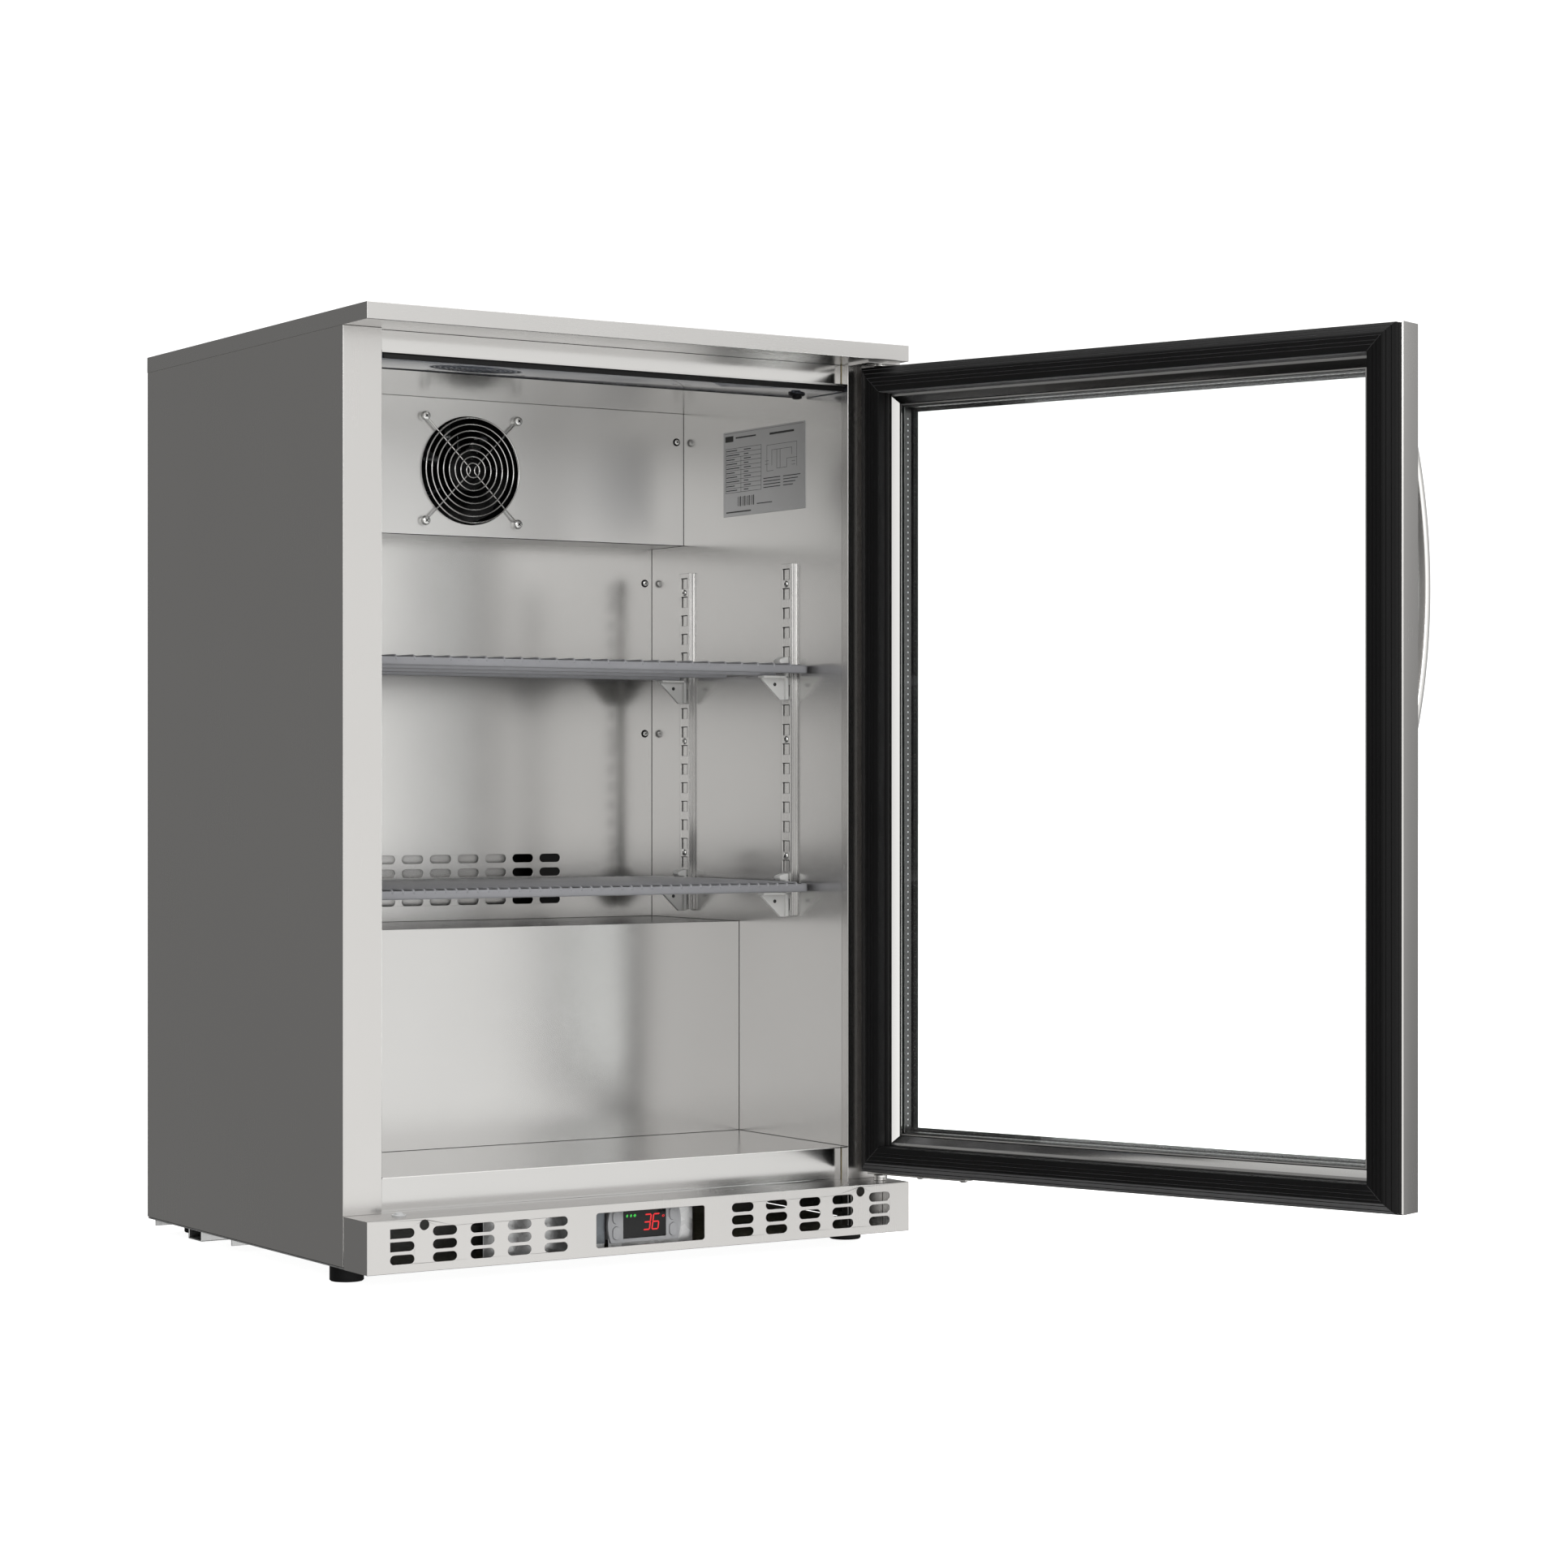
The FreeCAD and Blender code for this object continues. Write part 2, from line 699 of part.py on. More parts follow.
def controller():
    """The thermostat behind the window: bezel with four push buttons and a display lens."""
    z = "controller_height"
    plate = block(
        "bezel_blank",
        ("-controller_half_width", "controller_half_width"),
        (BEZEL_FRONT, f"{BEZEL_FRONT} + bezel_thickness"),
        (f"{z} - bezel_half_height", f"{z} + bezel_half_height"),
    )
    ends = rod("bezel_ends", "Y", ("0", BEZEL_FRONT, z), "controller_half_width", "bezel_thickness")
    case = block(
        "bezel_case",
        ("bezel_lip - controller_half_width", "controller_half_width - bezel_lip"),
        (f"{BEZEL_FRONT} + bezel_thickness - sheet", f"{BEZEL_FRONT} + case_depth"),
        (f"{z} - case_half_height", f"{z} + case_half_height"),
    )
    pocket = block(
        "bezel_pocket",
        ("-display_half_width", "display_half_width"),
        (f"{BEZEL_FRONT} - 1", f"{BEZEL_FRONT} + 2"),
        (f"{z} - display_half_height", f"{z} + display_half_height"),
    )
    tools = [pocket]
    for name, x, rise in button_places():
        spot = (x, f"{BEZEL_FRONT} - 1", f"({z} + {rise})")
        size = ("button_length + 2 * button_gap", "button_width + 2 * button_gap")
        tools.append(slot(f"bezel_hole_{name}", spot, *size, "6", upright=True))
    bezel = fused("bezel_solid", [common("bezel_plate", plate, ends), case])
    keep(cut("bezel", bezel, tools), "controller_bezel")
    lens = block(
        "lens",
        ("-display_half_width", "display_half_width"),
        (f"{BEZEL_FRONT} - 0.5", f"{BEZEL_FRONT} + 2"),
        (f"{z} - display_half_height", f"{z} + display_half_height"),
    )
    keep(lens, "controller_display")
    for name, x, rise in button_places():
        spot = (x, f"{BEZEL_FRONT} - button_stand", f"({z} + {rise})")
        key = slot(f"key_{name}", spot, "button_length", "button_width", "4", upright=True)
        keep(key, f"button_{name}")


def button_places():
    """Name, sideways place and height above the controller's middle of each push button."""
    return [
        ("up", "-button_offset", "button_rise"),
        ("down", "-button_offset", "-1 * button_rise"),
        ("set", "button_offset", "button_rise"),
        ("standby", "button_offset", "-1 * button_rise"),
    ]


# --- cold compartment -------------------------------------------------------------------

def evaporator_cover():
    """The folded cover over the evaporator, with the fan's round opening."""
    points = [
        ("cover_face", "cover_bottom"),
        ("cover_face", "ceiling_height"),
        ("cover_face + sheet", "ceiling_height"),
        ("cover_face + sheet", "cover_bottom + sheet"),
        ("duct_face", "cover_bottom + sheet"),
        ("duct_face", "cover_bottom"),
    ]
    fold = extruded("cover_fold", "YZ", points, f"-{INNER}", INNER)
    opening = rod("cover_opening", "Y", ("0", "cover_face - 1", "fan_height"), "fan_opening_radius", "3")
    keep(cut("cover", fold, [opening]), "evaporator_cover")


def duct_panel():
    """The panel down the back, with four rows of return-air slots."""
    panel = block(
        "duct_sheet",
        (f"-{INNER}", INNER),
        ("duct_face", "duct_face + sheet"),
        ("step_top", "cover_bottom + sheet"),
    )
    slots = []
    for column in range(-4, 5):
        for row in range(4):
            spot = (
                f"{column} * panel_slot_pitch",
                "duct_face - 1",
                f"(panel_slot_lowest + {row} * panel_slot_rise)",
            )
            name = f"duct_slot_{column + 4}_{row}"
            slots.append(slot(name, spot, "panel_slot_length", "panel_slot_height", "3 * sheet"))
    keep(cut("duct", panel, slots), "back_duct_panel")


def coil(prefix, x, y, z, fins, rows, tube):
    """A finned heat exchanger: upright fins threaded on straight tubes, joined by end bends."""
    x_low, x_high = x
    y_middle = (y[0] + y[1]) / 2
    pitch = (z[1] - z[0]) / rows
    levels = [z[0] + pitch * (row + 0.5) for row in range(rows)]
    shapes = []
    for fin in range(fins):
        at = x_low + (x_high - x_low) * fin / (fins - 1)
        blade = block(f"{prefix}_fin_{fin}", (f"{at}", f"{at} + 0.6"), y, z)
        holes = [
            rod(f"{prefix}_hole_{fin}_{row}", "X", (f"{at} - 1", y_middle, level), tube + 0.1, "3")
            for row, level in enumerate(levels)
        ]
        shapes.append(cut(f"{prefix}_blade_{fin}", blade, holes))
    for row, level in enumerate(levels):
        spot = (f"{x_low - 8}", y_middle, level)
        shapes.append(rod(f"{prefix}_tube_{row}", "X", spot, tube, x_high - x_low + 16))
    return shapes


def evaporator():
    """The evaporator coil behind the fan and its drip pan."""
    shapes = coil("evaporator", (-225, 225), (160, 208), (742, 842), 26, 4, 4.5)
    keep(grouped("evaporator_group", shapes), "evaporator_coil")


def fan_rotor(name, centre, y_low, y_high, hub, tip, count, twist):
    """A fan rotor that turns about Y: a round hub with tilted blades."""
    x, z = centre
    parts = [rod(name + "_hub", "Y", (x, y_low, z), hub, y_high - y_low)]
    width = (y_high - y_low) * 0.8
    thickness = 1.6
    root = 4
    middle = Vector(x, (y_low + y_high) / 2, z)
    for i in range(count):
        blade = doc.addObject("Part::Box", f"{name}_blade_{i}")
        blade.Length = width
        blade.Width = thickness
        blade.Height = tip - hub + root
        spin = Rotation(Vector(0, 1, 0), 360.0 * i / count)
        tilt = Rotation(Vector(0, 0, 1), 90 - twist)
        foot = spin.multVec(Vector(0, 0, hub - root))
        corner = spin.multVec(tilt.multVec(Vector(-width / 2, -thickness / 2, 0)))
        blade.Placement = FreeCAD.Placement(middle + foot + corner, spin.multiply(tilt))
        parts.append(blade)
    return fused(name, parts)


def evaporator_fan():
    """The axial fan: its square frame with motor and struts, and its rotor."""
    low = "cover_face + sheet"
    high = f"({low} + fan_frame_depth)"
    half = "fan_frame_half"
    square = block(
        "fan_square",
        (f"-{half}", half),
        (low, high),
        (f"fan_height - {half}", f"fan_height + {half}"),
    )
    spot = ("0", f"{low} - 1", "fan_height")
    bore = rod("fan_bore", "Y", spot, "fan_opening_radius", "fan_frame_depth + 2")
    shell = cut("fan_shell", square, [bore])
    spot = ("0", f"{high} - fan_motor_length", "fan_height")
    motor = rod("fan_motor", "Y", spot, "fan_hub_radius", "fan_motor_length")
    back = (f"{high} - fan_strut", high)
    struts = [
        block("fan_strut_across", between("0", "58"), back, between("fan_height", "fan_strut - 1")),
        block("fan_strut_up", between("0", "fan_strut - 1"), back, between("fan_height", "58")),
    ]
    keep(fused("fan_frame", [shell, motor] + struts), "evaporator_fan_frame")
    y_low = dimension("cover_face") + dimension("sheet") + 3
    centre = (0, dimension("fan_height"))
    tip = dimension("fan_opening_radius") - 3.5
    rotor = fan_rotor("fan_rotor", centre, y_low, y_low + 26, dimension("fan_hub_radius"), tip, 7, 35)
    keep(rotor, "evaporator_fan_rotor")


def fan_guard():
    """The wire guard in front of the fan, held on four screws with short spacers."""
    y = "(cover_face - guard_gap)"
    wires = [
        ring(
            f"guard_ring_{i}",
            "Y",
            ("0", y, "fan_height"),
            f"guard_first_ring + {i} * guard_ring_pitch",
            "guard_wire_radius",
        )
        for i in range(8)
    ]
    screws = []
    back = f"({y} + 2 * guard_wire_radius)"
    inner_end = 9
    reach = dimension("guard_screw_offset") * math.sqrt(2) - inner_end - 5.3
    for i, (name, sx, sz) in enumerate((("a", -1, 1), ("b", 1, 1), ("c", 1, -1), ("d", -1, -1))):
        arm = doc.addObject("Part::Cylinder", f"guard_arm_{name}")
        bind(arm, "Radius", "guard_wire_radius")
        arm.Height = reach
        arm.Placement = FreeCAD.Placement(
            Vector(sx * inner_end / math.sqrt(2), 0, sz * inner_end / math.sqrt(2)),
            Rotation(Vector(0, 0, 1), Vector(sx, 0, sz)),
        )
        bind(arm, ".Placement.Base.y", back)
        bind(arm, ".Placement.Base.z", f"fan_height + {sz * inner_end / math.sqrt(2)}")
        wires.append(arm)
        spot = (f"{sx} * guard_screw_offset", back, f"fan_height + {sz} * guard_screw_offset")
        wires.append(ring(f"guard_eye_{name}", "Y", spot, "4.2", "guard_wire_radius"))
        head = (spot[0], f"{y} - 1.4", spot[2])
        screws.append(
            fused(
                f"guard_screw_{name}",
                [
                    rod(f"guard_screw_head_{name}", "Y", head, "4.6", "2.4"),
                    rod(f"guard_screw_shank_{name}", "Y", head, "2.6", f"cover_face - ({y}) + 1.4"),
                    rod(
                        f"guard_spacer_{name}",
                        "Y",
                        (spot[0], f"{back} + guard_wire_radius", spot[2]),
                        "4.8",
                        f"cover_face - {back} - guard_wire_radius",
                    ),
                ],
            )
        )
    keep(grouped("guard", wires), "fan_guard")
    return screws


def lamp():
    """A strip light under the ceiling, just behind the door opening, and its push switch."""
    inset = "3"
    low = "(ceiling_height - lamp_thickness)"
    cover = block(
        "lamp",
        (f"{inset} - {INNER}", f"{INNER} - {inset}"),
        (f"{FACE} + {inset}", f"{FACE} + {inset} + lamp_depth"),
        (low, "ceiling_height"),
    )
    spot = ("switch_x", "switch_y", f"{low} - 1")
    hole = rod("lamp_hole", "Z", spot, "switch_radius + 0.5", "lamp_thickness + 0.5")
    keep(cut("lamp_cut", cover, [hole]), "lamp_cover")
    spot = ("switch_x", "switch_y", f"{low} - switch_drop")
    keep(rod("switch", "Z", spot, "switch_radius", "switch_drop + 1"), "lamp_switch")


def pilasters():
    """Four slotted channels on the side walls that carry the shelf clips."""
    count = 18
    top_slot = "pilaster_high - 10.9"
    for side, sign in (("left", "-"), ("right", "")):
        for end in ("front", "rear"):
            name = f"pilaster_{side}_{end}"
            middle = f"pilaster_{end}"

            def across(low, high):
                if sign:
                    return (f"-({high})", f"-({low})")
                return (low, high)

            outside = block(
                name + "_outside",
                across(f"{INNER} - pilaster_depth", INNER),
                between(middle, "pilaster_width / 2"),
                ("pilaster_low", "pilaster_high"),
            )
            tools = [
                block(
                    name + "_inside",
                    across(f"{INNER} - pilaster_depth + pilaster_sheet", f"{INNER} + 1"),
                    between(middle, "pilaster_width / 2 - pilaster_sheet"),
                    ("pilaster_low - 1", "pilaster_high + 1"),
                )
            ]
            for i in range(count):
                z = f"({top_slot} - {i} * pilaster_slot_pitch)"
                tools.append(
                    block(
                        f"{name}_slot_{i}",
                        across(f"{INNER} - pilaster_depth - 1", f"{INNER} - pilaster_depth + 2"),
                        between(middle, "pilaster_slot_width / 2"),
                        between(z, "pilaster_slot_height / 2"),
                    )
                )
            yield cut(name, outside, tools)


def shelf_clips():
    """Eight plastic clips: a triangular bracket under the shelf and a lug over its side rail."""
    clips = []
    for level in ("upper", "lower"):
        low = f"({level}_shelf_top - shelf_band - wire_radius)"
        high = f"({level}_shelf_top + 0.4)"
        for side, sign in (("left", "-"), ("right", "")):
            for end in ("front", "rear"):
                def across(distance):
                    return f"{sign}({INNER} - pilaster_depth - ({distance}))"

                points = [
                    (across("0"), f"{low} - clip_drop"),
                    (across("9"), f"{low} - clip_drop"),
                    (across("clip_reach"), f"{low} - 4"),
                    (across("clip_reach"), low),
                    (across("4"), low),
                    (across("4"), high),
                    (across("lug_reach - 2"), high),
                    (across("lug_reach"), f"{high} + clip_rise / 2"),
                    (across("lug_reach - 3"), f"{high} + clip_rise"),
                    (across("0"), f"{high} + clip_rise"),
                ]
                name = f"clip_{level}_{side}_{end}"
                y = f"pilaster_{end}"
                solid = extruded(name, "XZ", points, f"{y} - clip_width / 2", f"{y} + clip_width / 2")
                hole = rod(name + "_hole", "Y", (across("11"), f"{y} - 10", f"{low} - 9"), "2", "20")
                clips.append(cut(name + "_cut", solid, [hole]))
    keep(grouped("clips", clips), "shelf_clips")


def wire_shelf(level):
    """A coated wire shelf: a front band, side and cross rails, and front-to-back wires on top."""
    top = f"{level}_shelf_top"
    under = f"({top} - 2 * wire_radius + 0.6)"
    low = f"({top} - shelf_band)"
    rail = "shelf_rail_half_width"
    parts = [
        block(
            f"{level}_band",
            ("-shelf_half_width", "shelf_half_width"),
            ("shelf_front", "shelf_front + shelf_band_thickness"),
            (low, f"{top} - 1"),
        ),
        block(
            f"{level}_rear_rail",
            (f"-{rail}", rail),
            ("shelf_rear - shelf_band_thickness", "shelf_rear"),
            (low, f"{top} - 1"),
        ),
    ]
    for name, middle in (("front", -90), ("centre", 5), ("back", 100)):
        parts.append(
            block(
                f"{level}_cross_{name}",
                (f"-{rail} + 2", f"{rail} - 2"),
                (f"{middle} - 2.5", f"{middle} + 2.5"),
                (f"{low} - wire_radius", under),
            )
        )
    for side, sign in (("left", "-"), ("right", "")):
        outer = f"{sign}{rail}"
        inner = f"{sign}({rail} - 4)"
        span = (outer, inner) if sign else (inner, outer)
        ends = ("shelf_front + 1", "shelf_rear - 1")
        parts.append(block(f"{level}_side_{side}", span, ends, (low, under)))
    pitch = f"{level}_wire_pitch"
    half = int((dimension("shelf_rail_half_width") - 8) // dimension(pitch))
    wires = [
        rod(
            f"{level}_wire_{i + half}",
            "Y",
            (f"{i} * {pitch}", "shelf_front + 0.5", f"{top} - wire_radius"),
            "wire_radius",
            "shelf_rear - shelf_front - 1",
        )
        for i in range(-half, half + 1)
    ]
    keep(fused(f"{level}_shelf_weld", parts + wires), f"{level}_shelf")


def interior_screws(guard_screws):
    """Pan-head screws that hold the fan guard, the cover, the duct panel and the pilasters."""
    heads = list(guard_screws)
    for sign in ("-", ""):
        name = "left" if sign else "right"
        spot = (f"{sign}panel_screw_x", "cover_face - screw_head", "cover_screw_height")
        heads.append(rod(f"cover_screw_{name}", "Y", spot, "screw_radius", "screw_head"))
        for i, z in enumerate((681.3, 516.7)):
            spot = (f"{sign}panel_screw_x", "duct_face - screw_head", f"{z}")
            heads.append(rod(f"duct_screw_{name}_{i}", "Y", spot, "screw_radius", "screw_head"))
        for end in ("front", "rear"):
            for i, z in enumerate((667.6, 507.6, 387.6)):
                face = f"({INNER} - pilaster_depth)"
                x = f"-{face}" if sign else f"{face} - 1.6"
                spot = (x, f"pilaster_{end}", f"{z}")
                heads.append(rod(f"pilaster_screw_{name}_{end}_{i}", "X", spot, "3.4", "1.6"))
    keep(grouped("screws", heads), "interior_screws")


def rating_plate():
    """A blank data plate on the right wall."""
    plate = block("data_plate", (f"{INNER} - 0.5", INNER), ("-127", "31"), ("744.3", "834"))
    keep(plate, "rating_plate")


# --- machine space ----------------------------------------------------------------------

def compressor():
    """A hermetic compressor shell with its foot plate, on four rubber mounts."""
    x, y = -150, 150
    floor = f"{BASE} + base_sheet"
    shell = rod("shell_wall", "Z", (f"{x}", f"{y}", f"{floor} + 62"), "62", "70")
    domes = []
    for name, z in (("low", f"{floor} + 62"), ("high", f"{floor} + 132")):
        dome = doc.addObject("Part::Ellipsoid", "shell_dome_" + name)
        dome.Radius1 = 42
        dome.Radius2 = 62
        dome.Radius3 = 62
        dome.Angle1 = -90
        place(dome, (f"{x}", f"{y}", z))
        domes.append(dome)
    level = (f"{floor} + 18", f"{floor} + 22")
    foot = block("shell_foot", between(x, "85"), between(y, "50"), level)
    corners = [(x + sx * 75, y + sy * 40) for sx in (-1, 1) for sy in (-1, 1)]
    holes = [
        rod(f"shell_foot_hole_{i}", "Z", (f"{cx}", f"{cy}", f"{floor} + 10"), "4.2", "20")
        for i, (cx, cy) in enumerate(corners)
    ]
    keep(cut("compressor_shape", fused("compressor_solid", [shell, foot] + domes), holes), "compressor")
    mounts = []
    for i, (cx, cy) in enumerate(corners):
        profile = [
            ("0", "0"),
            ("10", "0"),
            ("10", "18"),
            ("4", "18"),
            ("4", "22"),
            ("9", "22"),
            ("9", "26"),
            ("0", "26"),
        ]
        mounts.append(turned(f"rubber_mount_{i}", profile, (f"{cx}", f"{cy}", floor)))
    keep(grouped("rubber_mounts", mounts), "compressor_mounts")


def condenser():
    """The condenser coil, the fan shroud behind it and the condenser fan."""
    shapes = coil("condenser", (-20, 220), (70, 104), (30, 170), 20, 4, 4)
    keep(grouped("condenser_group", shapes), "condenser_coil")
    centre = (100, 100)
    shroud = block("shroud_blank", ("-20", "220"), ("108", "150"), (f"{BASE} + base_sheet", "172"))
    inside = block("shroud_inside", ("-18", "218"), ("107", "148"), (f"{BASE} + base_sheet + 2", "170"))
    mouth = rod("shroud_mouth", "Y", ("100", "147", "100"), "66", "4")
    shroud = cut("shroud_cut", shroud, [inside, mouth])
    motor = rod("condenser_motor_can", "Y", ("100", "172", "100"), "24", "40")
    upright = (f"{BASE} + base_sheet", "100")
    bracket = block("condenser_motor_bracket", between("100", "8"), ("180", "184"), upright)
    motor = fused("condenser_motor_solid", [motor, bracket])
    keep(grouped("condenser_fan_set", [shroud, motor]), "condenser_fan_housing")
    rotor = fan_rotor("condenser_rotor", centre, 150.5, 170.5, 20, 62, 5, 30)
    keep(rotor, "condenser_fan_rotor")


def bent_tube(name, points, radius, bend):
    """A tube along straight runs with round bends, as a plain solid."""
    corners = [Vector(*p) for p in points]
    edges = []
    start = corners[0]
    for before, corner, after in zip(corners, corners[1:], corners[2:]):
        incoming = (before - corner).normalize()
        outgoing = (after - corner).normalize()
        half_angle = incoming.getAngle(outgoing) / 2
        set_back = bend / math.tan(half_angle)
        entry = corner + incoming * set_back
        leave = corner + outgoing * set_back
        bisector = (incoming + outgoing).normalize()
        middle = corner + bisector * (bend / math.sin(half_angle) - bend)
        edges.append(Part.LineSegment(start, entry).toShape())
        edges.append(Part.Arc(entry, middle, leave).toShape())
        start = leave
    edges.append(Part.LineSegment(start, corners[-1]).toShape())
    spine = Part.Wire(edges)
    disc = Part.Wire([Part.makeCircle(radius, corners[0], corners[1] - corners[0])])
    tube = doc.addObject("Part::Feature", name)
    tube.Shape = spine.makePipeShell([disc], True, False)
    return tube


def pipework():
    """Discharge and suction lines between the compressor and the two coils."""
    discharge = [(-86, 150, 90), (-60, 150, 90), (-60, 60, 90), (-60, 60, 210), (60, 60, 210), (60, 60, 175)]
    suction = [(-214, 150, 120), (-240, 150, 120), (-240, 205, 120), (-240, 205, 275)]
    lines = [bent_tube("discharge_line", discharge, 3, 12), bent_tube("suction_line", suction, 3.5, 12)]
    keep(grouped("lines", lines), "refrigerant_pipes")


def drip_tray():
    """The open tray over the compressor that boils off the defrost water."""
    tray = block("tray_outside", ("-225", "-75"), ("95", "205"), ("196", "220"))
    well = block("tray_inside", ("-223", "-77"), ("97", "203"), ("198", "221"))
    keep(cut("tray", tray, [well]), "drip_tray")


def cable_gland():
    """The gland in the rear grille that the supply lead leaves by."""
    profile = [
        ("0", "-8"),
        ("8", "-8"),
        ("8", "0"),
        ("11", "0"),
        ("11", "5"),
        ("8", "12"),
        ("4", "12"),
        ("4", "-4"),
        ("0", "-4"),
    ]
    gland = turned("gland", profile, ("0", "0", "0"))
    keep(place(gland, ("gland_x", BACK, "gland_height"), "Y"), "cable_gland")


def foot_places():
    """Name and place of each levelling foot."""
    front = f"{FRONT} + foot_inset_front"
    rear = f"{BACK} - foot_inset_rear"
    return [
        ("front_left", f"foot_inset_side - {SIDE}", front),
        ("front_right", f"{SIDE} - foot_inset_side", front),
        ("rear_left", f"foot_inset_side_rear - {SIDE}", rear),
        ("rear_right", f"{SIDE} - foot_inset_side_rear", rear),
    ]


def feet():
    """Black levelling feet, each a broad pad on a threaded stud."""
    for name, x, y in foot_places():
        profile = [
            ("0", "0"),
            ("foot_radius - 1", "0"),
            ("foot_radius", "1"),
            ("foot_radius", "foot_height"),
            ("stud_radius", "foot_height"),
            ("stud_radius", "foot_height + stud_length"),
            ("0", "foot_height + stud_length"),
        ]
        keep(turned(f"foot_{name}_body", profile, (x, y, "0")), f"foot_{name}")


# --- hinges and door --------------------------------------------------------------------

def hinge_brackets():
    """The cabinet's two hinge brackets, each a plate with a welded pin."""
    pin_low = "door_low + bush_length - 2"
    low_plate = block(
        "low_plate",
        ("hinge_x - 22", "hinge_x + 14"),
        ("hinge_y - 14", f"{FACE} - 2 * sheet"),
        (f"{PLINTH_TOP} - 4", f"{PLINTH_TOP} - sheet"),
    )
    low_leg = block(
        "low_leg",
        ("hinge_x - 22", "hinge_x + 14"),
        (f"{FACE} - 2 * sheet - 3", f"{FACE} - 2 * sheet"),
        (f"{BASE} + base_sheet", f"{PLINTH_TOP} - sheet"),
    )
    low_spot = ("hinge_x", "hinge_y", f"{PLINTH_TOP} - 4")
    low_pin = rod("low_pin", "Z", low_spot, "pin_radius", f"{pin_low} - ({PLINTH_TOP} - 4)")
    high_plate = block(
        "high_plate",
        ("hinge_x - 24", "hinge_x + 14"),
        ("hinge_y - 14", FACE),
        (f"{UNDER_TOP} - 2", UNDER_TOP),
    )
    high_bottom = "door_high - bush_length + 2"
    high_pin = rod(
        "high_pin",
        "Z",
        ("hinge_x", "hinge_y", high_bottom),
        "pin_radius",
        f"{UNDER_TOP} - ({high_bottom})",
    )
    low = fused("low_bracket", [low_plate, low_leg, low_pin])
    high = fused("high_bracket", [high_plate, high_pin])
    keep(grouped("brackets", [low, high]), "hinge_brackets")


def hang(shape, label):
    """Swings a finished door piece from closed to the open stop and registers it."""
    leaf = grouped(label + "_leaf", [shape])
    pivot = Vector(dimension("hinge_x"), dimension("hinge_y"), 0)
    turn = Rotation(Vector(0, 0, 1), dimension("door_open_angle"))
    leaf.Placement = FreeCAD.Placement(Vector(), turn, pivot)
    keep(leaf, label)


def mitred_frame(name, section, clear=()):
    """Four door bars with one section of (inset from edge, depth) pairs, mitred at 45 degrees."""
    reach = "60"
    middle_x = f"({FREE_EDGE} + door_width / 2)"
    middle_z = "((door_low + door_high) / 2)"
    bars = []
    sides = {
        "top": ("YZ", lambda a, y: (y, f"door_high - ({a})"), FREE_EDGE, HINGE_EDGE),
        "bottom": ("YZ", lambda a, y: (y, f"door_low + ({a})"), FREE_EDGE, HINGE_EDGE),
        "hinge": ("XY", lambda a, y: (f"{HINGE_EDGE} - ({a})", y), "door_low", "door_high"),
        "handle": ("XY", lambda a, y: (f"{FREE_EDGE} + ({a})", y), "door_low", "door_high"),
    }
    corners = {
        "top": ((FREE_EDGE, "door_high"), (HINGE_EDGE, "door_high")),
        "bottom": ((FREE_EDGE, "door_low"), (HINGE_EDGE, "door_low")),
        "hinge": ((HINGE_EDGE, "door_low"), (HINGE_EDGE, "door_high")),
        "handle": ((FREE_EDGE, "door_low"), (FREE_EDGE, "door_high")),
    }
    for side, (plane, spot, low, high) in sides.items():
        bar = extruded(f"{name}_{side}_bar", plane, [spot(a, y) for a, y in section], low, high)
        (x0, z0), (x1, z1) = corners[side]
        toward_x = {x: "+" if x == FREE_EDGE else "-" for x in (x0, x1)}
        toward_z = {z: "+" if z == "door_low" else "-" for z in (z0, z1)}
        wedge = [
            (x0, z0),
            (x1, z1),
            (f"{x1} {toward_x[x1]} {reach}", f"{z1} {toward_z[z1]} {reach}"),
            (f"{x0} {toward_x[x0]} {reach}", f"{z0} {toward_z[z0]} {reach}"),
        ]
        mitre = extruded(f"{name}_{side}_mitre", "XZ", wedge, f"{OUTER_FACE} - 10", f"{INNER_FACE} + 40")
        bar = common(f"{name}_{side}", bar, mitre)
        cutters = [tool for where, tool in clear if where == side]
        if cutters:
            bar = cut(f"{name}_{side}_cleared", bar, cutters)
        bars.append(bar)
    return grouped(name, bars)


def bush_cutters(name, radius):
    """Round cutters for the hinge bushes in the top and bottom bars."""
    low_spot = ("hinge_x", "hinge_y", "door_low - 5")
    low = rod(f"{name}_low", "Z", low_spot, radius, "bush_length + 5")
    spot = ("hinge_x", "hinge_y", "door_high - bush_length")
    high = rod(f"{name}_high", "Z", spot, radius, "bush_length + 5")
    side_low = rod(f"{name}_side_low", "Z", low_spot, radius, "bush_length + 5")
    side_high = rod(f"{name}_side_high", "Z", spot, radius, "bush_length + 5")
    return [("bottom", low), ("top", high), ("hinge", side_low), ("hinge", side_high)]


